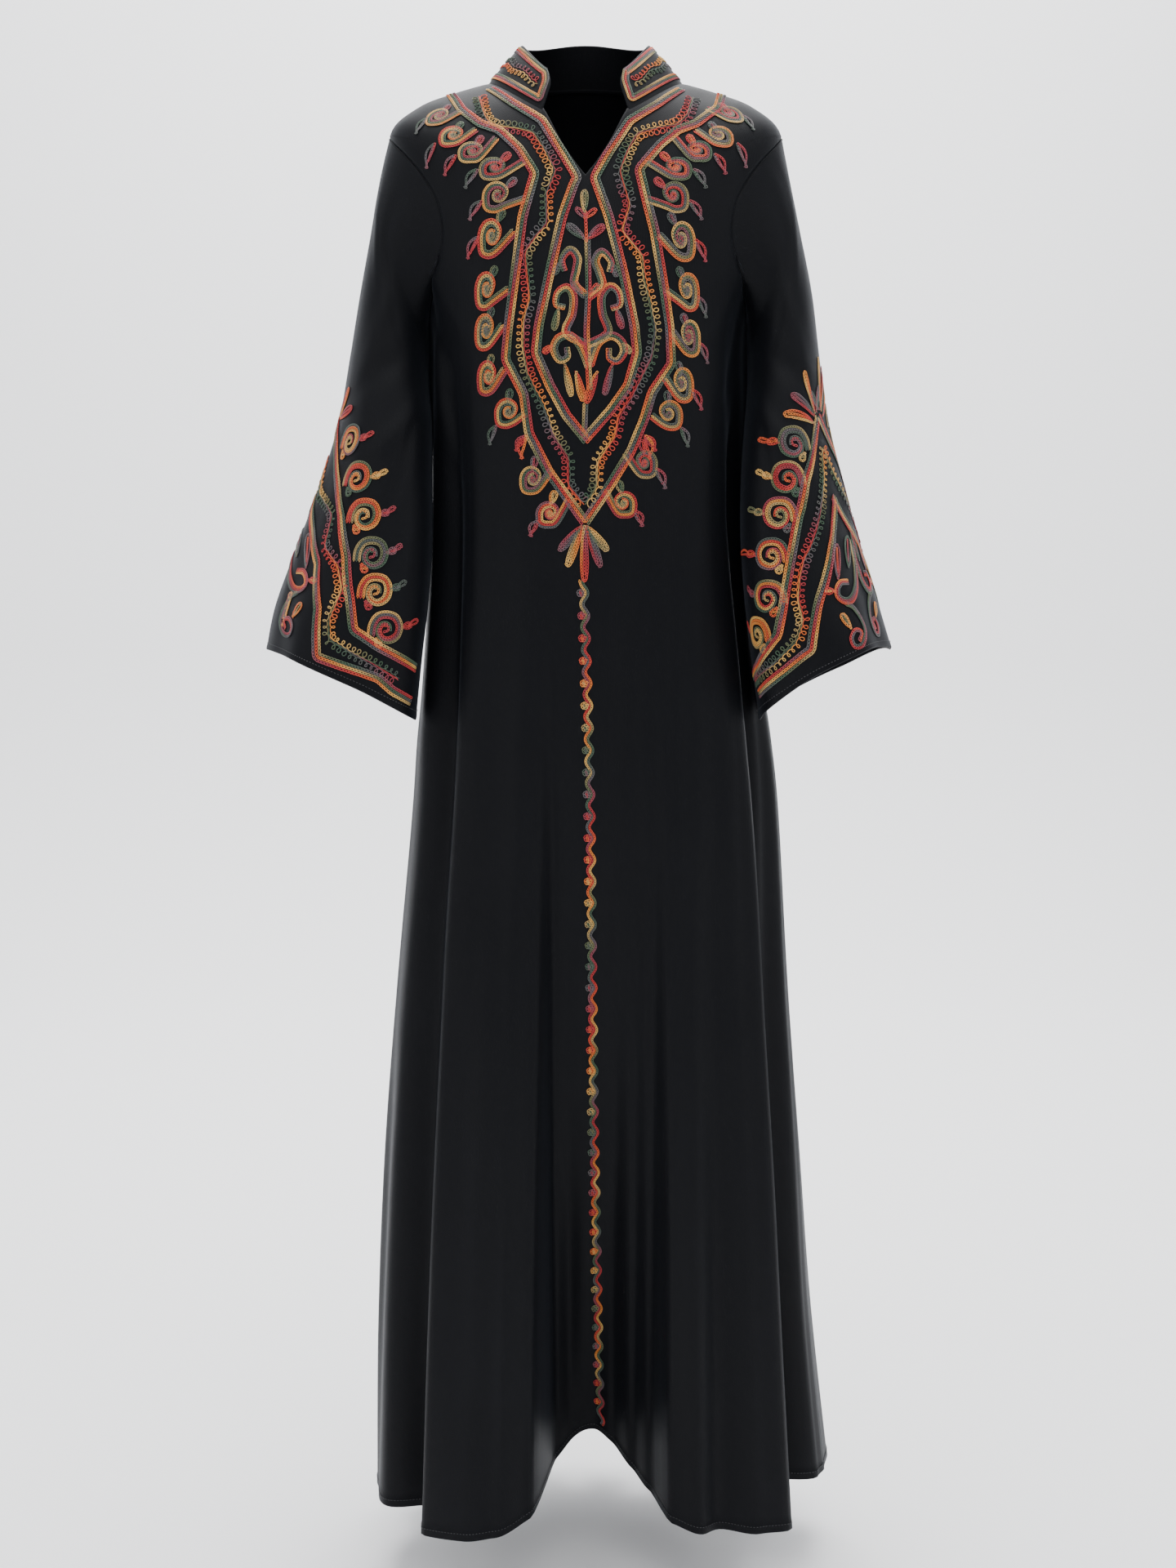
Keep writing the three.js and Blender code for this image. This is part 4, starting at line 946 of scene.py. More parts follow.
def sewingTree():
    # puts one link after another along every guide line, flat on the cloth
    tree = bpy.data.node_groups.new("sewing", "GeometryNodeTree")
    tree.interface.new_socket("Geometry", in_out="INPUT", socket_type="NodeSocketGeometry")
    tree.interface.new_socket("Geometry", in_out="OUTPUT", socket_type="NodeSocketGeometry")
    for name, kind in (("Link", "NodeSocketObject"), ("Thread", "NodeSocketMaterial"),
                       ("Pitch", "NodeSocketFloat"),
                       ("Unevenness", "NodeSocketFloat"), ("Seed", "NodeSocketInt")):
        tree.interface.new_socket(name, in_out="INPUT", socket_type=kind)

    def add(kind, settings=None, **inputs):
        made = tree.nodes.new(kind)
        for key, value in (settings or {}).items():
            setattr(made, key, value)
        for key, value in inputs.items():
            target = made.inputs[key.replace("_", " ")]
            if isinstance(value, bpy.types.NodeSocket):
                tree.links.new(value, target)
            else:
                target.default_value = value
        return made

    given = add("NodeGroupInput").outputs
    size = add("GeometryNodeInputNamedAttribute", {"data_type": "FLOAT"}, Name="size").outputs["Attribute"]
    normal = add("GeometryNodeInputNamedAttribute", {"data_type": "FLOAT_VECTOR"}, Name="clothNormal")
    step = add("ShaderNodeMath", {"operation": "MULTIPLY"})
    tree.links.new(given["Pitch"], step.inputs[0])
    tree.links.new(size, step.inputs[1])
    curve = add("GeometryNodeMeshToCurve", None, Mesh=given["Geometry"])
    even = add("GeometryNodeResampleCurve", {"mode": "LENGTH"}, Curve=curve.outputs[0],
               Length=step.outputs[0])
    along = add("GeometryNodeInputTangent").outputs[0]
    turn = add("FunctionNodeAxesToRotation", {"primary_axis": "Z", "secondary_axis": "X"},
               Primary_Axis=normal.outputs["Attribute"], Secondary_Axis=along)
    uneven = add("FunctionNodeRandomValue", {"data_type": "FLOAT"})
    low = add("ShaderNodeMath", {"operation": "SUBTRACT"})
    high = add("ShaderNodeMath", {"operation": "ADD"})
    for made in (low, high):
        made.inputs[0].default_value = 1.0
        tree.links.new(given["Unevenness"], made.inputs[1])
    tree.links.new(low.outputs[0], uneven.inputs[2])
    tree.links.new(high.outputs[0], uneven.inputs[3])
    tree.links.new(given["Seed"], uneven.inputs["Seed"])
    scale = add("ShaderNodeMath", {"operation": "MULTIPLY"})
    tree.links.new(uneven.outputs[1], scale.inputs[0])
    tree.links.new(size, scale.inputs[1])
    link = add("GeometryNodeObjectInfo", None, Object=given["Link"])
    sewn = add("GeometryNodeInstanceOnPoints", None, Points=even.outputs[0],
               Instance=link.outputs["Geometry"],
               Rotation=turn.outputs[0], Scale=scale.outputs[0])
    real = add("GeometryNodeRealizeInstances", None, Geometry=sewn.outputs[0])
    dyed = add("GeometryNodeSetMaterial", None, Geometry=real.outputs[0], Material=given["Thread"])
    tree.links.new(dyed.outputs[0], add("NodeGroupOutput").inputs[0])
    return tree


sewing = sewingTree()
chainLink = threadLoop("chainLink", [
    (-3.8, 0, -0.3), (-0.4, 1.6, 0.0), (3.2, 1.15, 0.4), (3.2, -1.15, 0.4), (-0.4, -1.6, 0.0),
], 0.76)
cordLink = cordBead("cordLink", 3.4, 0.8)
hemLink = cordBead("hemLink", 2.2, 0.34)


def sewn(threads, name, link, pitch, material, unevenness=0.07):
    # runs the sewing tree on a guide and keeps the result as a plain mesh
    guide = threads.guide()
    work = guide.modifiers.new("sewing", "NODES")
    work.node_group = sewing
    values = {"Link": link, "Thread": material, "Pitch": pitch * mm, "Unevenness": unevenness,
              "Seed": stitch["seed"]}
    for item in sewing.interface.items_tree:
        if item.in_out == "INPUT" and item.name in values:
            work[item.identifier] = values[item.name]
    bpy.context.view_layer.update()
    evaluated = guide.evaluated_get(bpy.context.evaluated_depsgraph_get())
    mesh = bpy.data.meshes.new_from_object(evaluated)
    mesh.name = name
    guide.modifiers.remove(work)
    bpy.data.objects.remove(guide)
    made = bpy.data.objects.new(name, mesh)
    bpy.context.scene.collection.objects.link(made)
    print(name, len(mesh.loops) - 2 * len(mesh.polygons), "triangles")
    return made


def joined(name, *objects):
    # several sewn meshes as one piece
    with bpy.context.temp_override(active_object=objects[0], selected_editable_objects=list(objects)):
        bpy.ops.object.join()
    objects[0].name = objects[0].data.name = name
    return objects[0]


# chest work
frontGround = Ground(bodyPoint, bodyNormal, np.arange(-87, 88, 4.0), np.arange(0, 15.01, 0.25), (0.3, 0.02))

# lines drawn as seen from the front, across and up from the neck base; -1 is the wearer's right
yoke = {
    "line": {
        -1: [(-138, -3), (-124, -27), (-105, -43), (-86, -50), (-66, -69), (-50, -94), (-62, -137),
             (-69, -191), (-76, -244), (-79, -276), (-61, -310), (-56, -348), (-36, -387), (-2, -434)],
        1: [(139, -3), (133, -24), (110, -43), (92, -50), (74, -65), (53, -90), (61, -124), (68, -151),
            (77, -204), (83, -244), (85, -280), (66, -308), (58, -335), (45, -366), (24, -400), (1, -434)],
    },
    "neckLine": {
        -1: [(-96, -2), (-72, -21), (-44, -39), (-23, -73), (-8, -98), (-11, -103), (-23, -137),
             (-35, -191), (-46, -244), (-49, -270), (-35, -302), (-19, -331), (0, -354)],
        1: [(96, -3), (72, -22), (44, -40), (23, -73), (9, -98), (12, -106), (23, -137), (37, -191),
            (48, -244), (51, -270), (42, -302), (25, -326), (0, -354)],
    },
    "wave": {
        -1: [(-107, -12), (-101, -33), (-93, -45), (-68, -48), (-52, -52), (-40, -71), (-30, -91),
             (-39, -114), (-38, -144), (-49, -156), (-60, -173), (-57, -199), (-55, -218), (-61, -238),
             (-62, -264), (-57, -291), (-41, -323), (-32, -350), (-17, -373), (-17, -400), (-2, -418)],
        1: [(108, -13), (102, -33), (92, -44), (70, -48), (52, -53), (42, -70), (34, -92), (44, -125),
            (36, -151), (56, -175), (58, -199), (64, -222), (69, -248), (65, -275), (46, -312), (33, -331),
            (29, -352), (12, -376), (11, -402), (0, -418)],
    },
    "shade": {-1: 0.16, 1: 0.08},
    "petals": [  # tip across and up, shade
        (-26, -461, 0.66), (-18, -477, 0.12), (-1, -492, 0.80), (15, -477, 0.64), (22, -461, 0.28),
    ],
}

# scrolls down the wearer's right: eye across and up, half width and height, where its stem starts from
# the eye, where its bud ends, and the two ends of its leaf
scrolls = [
    {"eye": (-147, -33), "half": (13, 12), "stem": (22, 6), "bud": (5, 14), "leaf": ((-14, -2), (-21, -19)),
     "shade": 0.22},
    {"eye": (-132, -55), "half": (14, 12), "stem": (22, 6), "bud": (6, 13), "leaf": ((-19, -8), (-27, -28)),
     "shade": 0.96},
    {"eye": (-112, -72), "half": (14, 11), "stem": (22, 14), "bud": (7, 14),
     "leaf": ((-18, -4), (-28, -21)), "shade": 0.26},
    {"eye": (-90, -89), "half": (15, 12), "stem": (28, 7), "bud": (13, 13), "leaf": ((-18, -2), (-29, -18)),
     "shade": 0.34},
    {"eye": (-87, -117), "half": (15, 17), "stem": (26, -3), "bud": (16, 15),
     "leaf": ((-17, -5), (-28, -22)), "shade": 0.18},
    {"eye": (-93, -157), "half": (13, 22), "stem": (22, 4), "bud": (10, 24), "leaf": ((-15, 0), (-25, -20)),
     "shade": 0.92},
    {"eye": (-98, -208), "half": (11.5, 21), "stem": (22, -1), "bud": (8, 20), "leaf": None, "shade": 0.94},
    {"eye": (-99, -248), "half": (11, 20), "stem": (18, 4), "bud": (6, 20), "leaf": None, "shade": 0.02},
    {"eye": (-97, -293), "half": (11, 19), "stem": (18, 6), "bud": (3, 19), "leaf": None, "shade": 0.88},
    {"eye": (-77, -328), "half": (14, 16), "stem": (17, -2), "bud": (1, 20),
     "leaf": ((-14, -14), (-20, -32)), "shade": 0.98},
    {"eye": (-53, -394), "half": (12, 15), "stem": (19, 9), "bud": (2, 20), "leaf": None, "shade": 0.20},
    {"eye": (-36, -428), "half": (13, 14), "stem": (19, 13), "bud": (4, 20),
     "leaf": ((-13, -8), (-19, -22)), "shade": 0.68},
]
# the wearer's left has the same scrolls in its own places
scrollEyesLeft = [(145, -30), (133, -55), (111, -71), (90, -89), (87, -117), (95, -160), (101, -209),
                  (103, -254), (96, -300), (83, -330), (59, -378), (38, -418)]
scrollWork = {
    "tallSize": 0.62,
    "size": 0.54,
    "tall": 1.25,  # a scroll is tall where its height over its width is more
    "rowShade": 0.29,
    "budSize": 0.56,
    "budHalf": 3.4,
    "leafSize": 0.6,
    "leafHalf": 3.2,
    # from the stem round the underside, up, over the top and in, on a scroll 26 mm wide and 44 mm high
    "turns": [(7, -12), (-1, -16.5), (-8, -14.5), (-10, -6), (-9.5, 4.5), (-5.5, 12.5), (1, 14.5), (6.5, 9),
              (6.5, 1), (2.6, -5), (-1.6, -3.5), (-2.6, 2), (0, 6), (2.4, 2), (0.6, -1)],
}


def scrollLine(half, stem, side):
    # the middle line of a scroll round its eye
    across, up = half[0] / 13, half[1] / 22
    points = [stem] + [(across * x, up * y) for x, y in scrollWork["turns"]]
    return curved([(side * -x, y) for x, y in points], 1.2)


def ringLine(root, tip, half):
    # a closed oval between two points, blunt at its tip
    root, tip = np.array(root, float), np.array(tip, float)
    along = tip - root
    across = np.array([-along[1], along[0]]) / max(np.linalg.norm(along), 1e-6) * half
    turn = np.linspace(0, 2 * math.pi, 17)
    reach = 0.5 - 0.5 * np.cos(turn)
    swell = np.sin(turn) * (0.55 + 0.65 * reach)
    return spaced(root + reach[:, None] * along + swell[:, None] * across, 1.0)


def leafLine(root, tip, half, bend=0.16):
    # a narrow closed leaf, pointed at its tip and bent to one side
    root, tip = np.array(root, float), np.array(tip, float)
    along = tip - root
    across = np.array([-along[1], along[0]]) / max(np.linalg.norm(along), 1e-6)
    out = np.linspace(0, 1, 9)
    bow = np.sin(out * math.pi) * bend * np.linalg.norm(along)
    spine = root + out[:, None] * along + bow[:, None] * across
    width = (half * np.sin(np.clip(out * 1.15 + 0.08, 0, 1) * math.pi) ** 0.8)[:, None] * across
    return spaced(np.concatenate([spine - width, (spine + width)[::-1]]), 1.0)


def sewScroll(threads, ground, place, scroll, side):
    flip = np.array([-side, 1.0])
    line = ground.laid(place, scrollLine(scroll["half"], scroll["stem"], side))
    out = np.linspace(0, 1, len(line[0]))
    tall = scroll["half"][1] > scroll["half"][0] * scrollWork["tall"]
    taper = 1 - 0.55 * smooth((out - 0.52) / 0.3)
    size = scrollWork["tallSize" if tall else "size"]
    for i, end in ((-1, 0.95), (0, 1.0), (1, 0.97)):
        keep = max(int(len(out) * end), 4)
        part = (line[0][:keep], line[1][:keep])
        shade = scroll["shade"] + scrollWork["rowShade"] * (i + 1)
        threads.row(part, shade, size, i * side * stitch["row"] * size, taper[:keep], 0.45)
    bud = np.array(scroll["bud"], float)
    root = bud * (1 - 9.5 / np.linalg.norm(bud)) + np.array([0.0, 0.5])
    ring = ringLine(root * flip, (bud + np.array([1.6, 2.4])) * flip, scrollWork["budHalf"])
    threads.row(ground.laid(place, ring), scroll["shade"] + 0.55, scrollWork["budSize"], 0)
    filling = spaced([(root * 0.7 + bud * 0.3) * flip, (root * 0.1 + bud * 0.9) * flip], 1.1)
    threads.row(ground.laid(place, filling), scroll["shade"] + 0.7, scrollWork["budSize"], 0)
    if scroll["leaf"]:
        near, far = scroll["leaf"]
        near, far = np.array(near) * flip, np.array(far) * flip
        edge = leafLine(near, far, scrollWork["leafHalf"], 0.1 * side)
        threads.row(ground.laid(place, edge), scroll["leafShade"], scrollWork["leafSize"], 0)
        threads.row(ground.laid(place, spaced([near * 0.85 + far * 0.15, near * 0.35 + far * 0.65], 1.1)),
                    scroll["leafShade"] + 0.12, scrollWork["leafSize"], 0)


def chestPlace(eye):
    a, b = frontGround.meet(np.array([[eye[0], 0, eye[1]]], float), np.array([1.0, 0, 0]),
                            np.array([0, 0, 1.0]))
    return frontGround.frameAt(a[0], b[0])


def petal(threads, ground, root, tip, half, shade, size=0.8):
    # an outlined petal filled with one row
    root, tip = np.array(root, float), np.array(tip, float)
    threads.row(ground(ringLine(root, tip, half)), shade, size, 0)
    filling = spaced([root + (tip - root) * 0.15, root + (tip - root) * 0.84], 1.2)
    threads.row(ground(filling), shade + 0.08, size, 0)


yokeThreads = Threads("yokeThreads")
for side in (-1, 1):
    yokeThreads.band(frontGround.drawn(eased(yoke["line"][side], 5)), yoke["shade"][side])
    for i, scroll in enumerate(scrolls):
        eye = scroll["eye"] if side < 0 else scrollEyesLeft[i]
        own = {**scroll, "leafShade": 0.62 + 0.09 * (i % 3)}
        if side > 0:
            own["shade"] += 0.11 + 0.05 * (i % 3)
            own["leaf"] = scroll["leaf"] or ((-12, -6), (-21, -25))
        sewScroll(yokeThreads, frontGround, chestPlace(eye), own, side)
    # a leaf pair between the lower scrolls
    for tipAcross, tipUp, shade in ((9, -14, 0.9), (3, -22, 0.02)):
        x = side * 60
        leaf = leafLine((x, -352), (x + side * tipAcross, -352 + tipUp), 3.0, 0.12 * side)
        yokeThreads.row(frontGround.drawn(leaf), shade, 0.62, 0)
for across, up, shade in yoke["petals"]:
    root = (across * 0.16 - 1, -441)
    petal(yokeThreads, frontGround.drawn, root, (across, up - 3), 3.4, shade, 0.62)
finished(sewn(yokeThreads, "yoke_border_thread", chainLink, stitch["pitch"],
              threadFinishes["crimson_thread"]),
                    "crimson_thread", None, "yoke_border")

neckThreads = Threads("neckThreads")
coilThreads = Threads("coilThreads")
for side in (-1, 1):
    neckThreads.band(frontGround.drawn(eased(yoke["neckLine"][side], 4)), yoke["shade"][side] + 0.2)
    wave = frontGround.drawn(eased(yoke["wave"][side], 6))
    coilThreads.row(wave, 0.3 + 0.2 * side, 0.62, 0, bleed=0.8)
    for low, high, radius, pitch in ((0, 0.30, 3.3, 6.0), (0.30, 1, 2.8, 6.2)):
        piece = (wave[0][int(low * len(wave[0])):int(high * len(wave[0]))],
                 wave[1][int(low * len(wave[0])):int(high * len(wave[0]))])
        coilThreads.coils(piece, side, 0.62 + 0.1 * side, radius, pitch, radius + 0.9, 0.6)
        coilThreads.coils(piece, -side, 0.02 - 0.1 * side, radius, pitch, radius + 0.9, 0.6)
neckWork = sewn(neckThreads, "neckRows", chainLink, stitch["pitch"], threadFinishes["gold_thread"])
coilWork = sewn(coilThreads, "chestCoils", cordLink, stitch["cordPitch"], threadFinishes["gold_thread"])
finished(joined("neckline_border_thread", neckWork, coilWork), "gold_thread", None, "neckline_border")
print("chest sewn")


# centre front
# sprig inside the neckline border, drawn across and up; each hook is (line, shade) and is sewn in three
# rows
sprig = {
    "stem": [(2, -161), (3, -205), (1, -250), (4, -304)],
    "foot": [(0, -321), (-1, -347)],
    "hooks": [
        ([(-1, -214), (-11, -203), (-9, -189), (-8, -178), (-15, -170), (-23, -179), (-21, -189)], 0.20),
        ([(4, -216), (16, -205), (14, -193), (10, -181), (16, -172), (25, -181), (24, -190)], 0.02),
        ([(0, -262), (-19, -251), (-13, -233), (-12, -216), (-18, -207), (-27, -212), (-29, -223),
          (-22, -226)], 0.66),
        ([(3, -262), (22, -251), (17, -233), (16, -216), (24, -206), (32, -211), (34, -223), (27, -227)],
         0.34),
        ([(3, -283), (-5, -264), (-15, -254), (-26, -256), (-31, -266), (-26, -277), (-18, -275),
          (-18, -267)], 0.90),
        ([(5, -281), (12, -262), (24, -254), (34, -258), (38, -268), (32, -278), (24, -276), (23, -268)],
         0.12),
    ],
    # rings and leaves: root, tip, half width, shade, filled
    "leaves": [
        ((-1, -131), (-1, -111), 3.2, 0.36, True), ((0, -138), (-9, -129), 2.2, 0.82, False),
        ((0, -138), (10, -130), 2.2, 0.02, False), ((-2, -158), (-18, -145), 3.6, 0.62, True),
        ((3, -158), (18, -146), 3.6, 0.80, True), ((-24, -182), (-31, -194), 2.4, 0.64, True),
        ((26, -183), (31, -196), 2.4, 0.66, True), ((-4, -211), (-11, -202), 2.2, 0.84, False),
        ((6, -213), (12, -204), 2.2, 0.04, False), ((-27, -229), (-31, -248), 2.8, 0.40, True),
        ((31, -229), (36, -246), 2.8, 0.78, True), ((-34, -264), (-41, -270), 2.6, 0.02, True),
        ((38, -262), (44, -270), 2.6, 0.38, True), ((-20, -283), (-14, -312), 2.8, 0.22, True),
        ((26, -283), (19, -311), 2.8, 0.70, True), ((-9, -290), (-2, -317), 3.2, 0.08, True),
        ((11, -290), (1, -319), 3.2, 0.94, True),
    ],
    "size": 0.58,
}
sprigThreads = Threads("sprigThreads")
drawn = frontGround.drawn
sprigThreads.band(drawn(eased(sprig["stem"], 6)), 0.42, 2, 0.66)
sprigThreads.band(drawn(eased(sprig["foot"], 2)), 0.40, 2, 0.6)
sprigThreads.row(drawn(spaced([(0, -133), (1, -160)], 1.2)), 0.03, 0.7, 0)
for line, shade in sprig["hooks"]:
    line = drawn(curved(line))
    out = np.linspace(0, 1, len(line[0]))
    taper = 1 - 0.4 * smooth((out - 0.6) / 0.4)
    for i in (-1, 0, 1):
        beside = i * stitch["row"] * sprig["size"]
        sprigThreads.row(line, shade + 0.27 * (i + 1), sprig["size"], beside, taper)
for root, tip, half, shade, isFilled in sprig["leaves"]:
    sprigThreads.row(drawn(ringLine(root, tip, half)), shade, sprig["size"], 0)
    if isFilled:
        root, tip = np.array(root, float), np.array(tip, float)
        filling = spaced([root + (tip - root) * 0.2, root + (tip - root) * 0.82], 1.1)
        sprigThreads.row(drawn(filling), shade + 0.1, sprig["size"], 0)
finished(sewn(sprigThreads, "centre_stem_thread", chainLink, stitch["pitch"],
              threadFinishes["green_thread"]),
         "green_thread", None, "centre_stem")

# running scroll down the skirt: a knob, then a cord that waves round it
vine = {
    "line": [(-3, -495), (2, -637), (4, -733), (6, -904), (8, -1082), (12, -1274), (16, -1422)],
    "repeat": 22.8,
    "wave": 2.6,
    "knob": 2.7,
    "knobOut": 2.3,
    "size": 0.56,
    "shade": 0.30,
}
vineThreads = Threads("vineThreads")
spine = np.array(vine["line"], float)
depth = spine[0, 1] - np.arange(0, spine[0, 1] - spine[-1, 1], 1.4)
middle = np.interp(-depth, -spine[:, 1], spine[:, 0])
turn = (depth - spine[0, 1]) / vine["repeat"] * 2 * math.pi
cord = drawn(np.stack([middle + 1.2 - vine["wave"] * np.cos(turn), depth], -1))
vineThreads.band(cord, vine["shade"], 2, vine["size"])
for k in range(int((spine[0, 1] - spine[-1, 1]) / vine["repeat"])):
    up = spine[0, 1] - (k + 0.5) * vine["repeat"]
    across = np.interp(-up, -spine[:, 1], spine[:, 0]) - vine["knobOut"]
    round1 = np.linspace(0, 2 * math.pi, 11)
    knob = np.stack([across + vine["knob"] * np.cos(round1), up + vine["knob"] * np.sin(round1)], -1)
    shade = vine["shade"] + 0.45 + 0.11 * k
    vineThreads.row(drawn(knob), shade, 0.62, 0)
    dot = np.array([(across, up + 1.2), (across, up), (across, up - 1.2)])
    vineThreads.row(drawn(dot), shade + 0.2, 0.62, 0)
finished(sewn(vineThreads, "centre_vine_thread", chainLink, stitch["pitch"], threadFinishes["gold_thread"]),
         "gold_thread", None, "centre_vine")
print("centre front sewn")


# sleeve work
# lines drawn flat on a sleeve: round from its outer line towards the front, and up from the cuff;
# each arrow is mirrored behind its own axis
sleeveWork = {
    -1: {
        "axis": -4,
        "outer": [(-4, 232), (52, 186), (80, 159), (99, 128), (110, 94), (120, 64), (148, 57), (183, 53),
                  (205, 50)],
        "inner": [(-4, 164), (66, 114), (86, 73), (95, 23), (120, 25), (155, 28), (173, 22), (200, 20)],
        "wave": [(-4, 198), (17, 168), (50, 161), (64, 156), (68, 131), (93, 118), (103, 99), (99, 67),
                 (103, 46), (123, 41), (147, 39), (177, 35)],
        # eye round and up, shades of the outer, middle and inner row and of the bud
        "scrolls": [
            (61, 221, 0.25, 0.12, 0.62, 0.94), (89, 194, 0.02, 0.06, 0.44, 0.28),
            (107, 166, 0.46, 0.04, 0.10, 0.86),
            (122, 137, 0.42, 0.66, 0.44, 0.82), (135, 107, 0.26, 0.02, 0.20, 0.64),
            (155, 77, 0.88, 0.70, 0.30, 0.96),
        ],
        "petals": [((8, 236), (30, 262), 0.0), ((12, 234), (50, 248), 0.84)],
        "figure": (43, 92),
        "shade": 0.34,
    },
    1: {
        "axis": 48,
        "outer": [(52, 238), (96, 193), (120, 148), (142, 109), (163, 69), (205, 50), (235, 44)],
        "inner": [(46, 168), (80, 130), (107, 88), (126, 39), (164, 32), (212, 26)],
        "wave": [(50, 212), (62, 190), (82, 165), (92, 152), (112, 130), (121, 116), (129, 95), (128, 72),
                 (142, 54), (174, 44), (225, 38)],
        "scrolls": [
            (105, 231, 0.64, 0.70, 0.42, 0.08), (118, 203, 0.88, 0.90, 0.36, 0.30),
            (137, 175, 0.36, 0.20, 0.80, 0.44),
            (156, 143, 0.24, 0.02, 0.62, 0.02), (170, 108, 0.90, 0.16, 0.42, 0.84),
            (197, 79, 0.20, 0.14, 0.26, 0.0),
        ],
        "petals": [((58, 246), (75, 288), 0.06), ((62, 244), (104, 277), 0.68),
                   ((66, 238), (116, 264), 0.04), ((52, 246), (34, 264), 0.64)],
        "figure": (78, 85),
        "shade": 0.40,
    },
}
sleeveStitch = {"band": 0.7, "scroll": 0.58, "bud": 0.54, "cord": 0.62, "coil": 2.8, "coilPitch": 6.2}
# the middle line of a scroll round its eye: off the border, over the top, and in
scrollSpiral = [(-15.5, -6), (-14, 3), (-8.5, 11), (0, 13.2), (8.5, 10.6), (12.2, 2), (9.6, -7.6),
                (2, -12.2), (-5, -9.6), (-7.6, -2.6), (-4.4, 3.4), (1.2, 3.2), (2.2, -1.8), (-1.2, -3.6)]


def sleeveGround(side):
    turns = np.arange(2, 179, 5.0)
    levels = np.arange(1.5, cuffLevel + 0.01, 0.2)
    return Ground(lambda turn, level: sleevePoint(side, turn, level),
                  lambda turn, level: sleeveNormal(side, turn, level), turns, levels, (1, 0.02))


def sleevePlace(x, y):
    # turn and level of a place in the flat pattern
    return sleeve["patternAxis"] + x / sleeve["perDegree"], cuffLevel - y / sleeve["perLevel"]


def onSleeve(ground, flat):
    # a line in the flat pattern, laid on the sleeve
    return ground.line(*sleevePlace(flat[:, 0], flat[:, 1]))


def sewSleeveScroll(threads, ground, place, shades, flip):
    line = ground.laid(place, curved([(flip * x, y) for x, y in scrollSpiral]))
    out = np.linspace(0, 1, len(line[0]))
    taper = 1 - 0.42 * smooth((out - 0.5) / 0.35)
    size = sleeveStitch["scroll"]
    for i, end in ((-1, 0.96), (0, 1.0), (1, 0.9)):
        keep = int(len(out) * end)
        part = (line[0][:keep], line[1][:keep])
        threads.row(part, shades[1 - i], size, -i * flip * stitch["row"] * size, taper[:keep], 0.5)
    turnTo = np.array([flip, 1.0])
    buds = [((15.6, 1), (23, 4), 3.0, 0), ((22, 3.4), (29, 9), 1.9, 0.05),
            ((-10.5, -11.5), (-6.5, -18.5), 3.0, 0.3)]
    for root, tip, half, later in buds:
        shade = shades[3] + later
        root, tip = np.array(root) * turnTo, np.array(tip) * turnTo
        threads.row(ground.laid(place, ringLine(root, tip, half)), shade, sleeveStitch["bud"], 0, None, 0.3)
        if half > 2:
            centre = (root + tip) / 2
            dot = np.array([centre + (-1.5, 0), centre, centre + (1.5, 0)])
            threads.row(ground.laid(place, dot), shade + 0.1, sleeveStitch["bud"], 0)


# the figure below the arrow: lines round its ring, with the size of their rows, how many, and their shade
figure = {
    "hook": [(12, 44), (14, 32), (14.5, 20), (13.5, 4), (8, -7), (0, -9), (-7, -4.5), (-8, 3), (-4, 9),
             (3, 9.5)],
    "comma": [(2, -12), (9, -16), (17, -27), (21.5, -40), (18, -52), (10, -54), (6, -46), (10, -38),
              (17, -40), (15, -47)],
    "petals": [((-7, 14), (-7, 47), 3.4, 0.40), ((6, 25), (6.5, 55), 3.6, 0.20),
               ((-12, 1), (-20, 1), 2.8, 0.66), ((5, -35), (-4, -22), 2.8, 0.84)],
}


def sewFigure(threads, laid, flip, shade):
    for name, rows, own in (("hook", 3, 0.02), ("comma", 2, 0.14)):
        line = laid(curved([(flip * x, y) for x, y in figure[name]]))
        out = np.linspace(0, 1, len(line[0]))
        taper = 1 - 0.35 * smooth((out - 0.5) / 0.4)
        for i in range(rows):
            offset = (i - (rows - 1) / 2) * stitch["row"] * 0.6
            threads.row(line, shade + own + 0.2 * i, 0.6, offset, taper, 0.7)
    for root, tip, half, own in figure["petals"]:
        root, tip = np.array(root) * (flip, 1), np.array(tip) * (flip, 1)
        threads.row(laid(ringLine(root, tip, half)), shade + own, 0.58, 0, None, 0.3)
        filling = laid(spaced([root * 0.8 + tip * 0.2, root * 0.15 + tip * 0.85], 1.2))
        threads.row(filling, shade + own + 0.25, 0.58, 0)


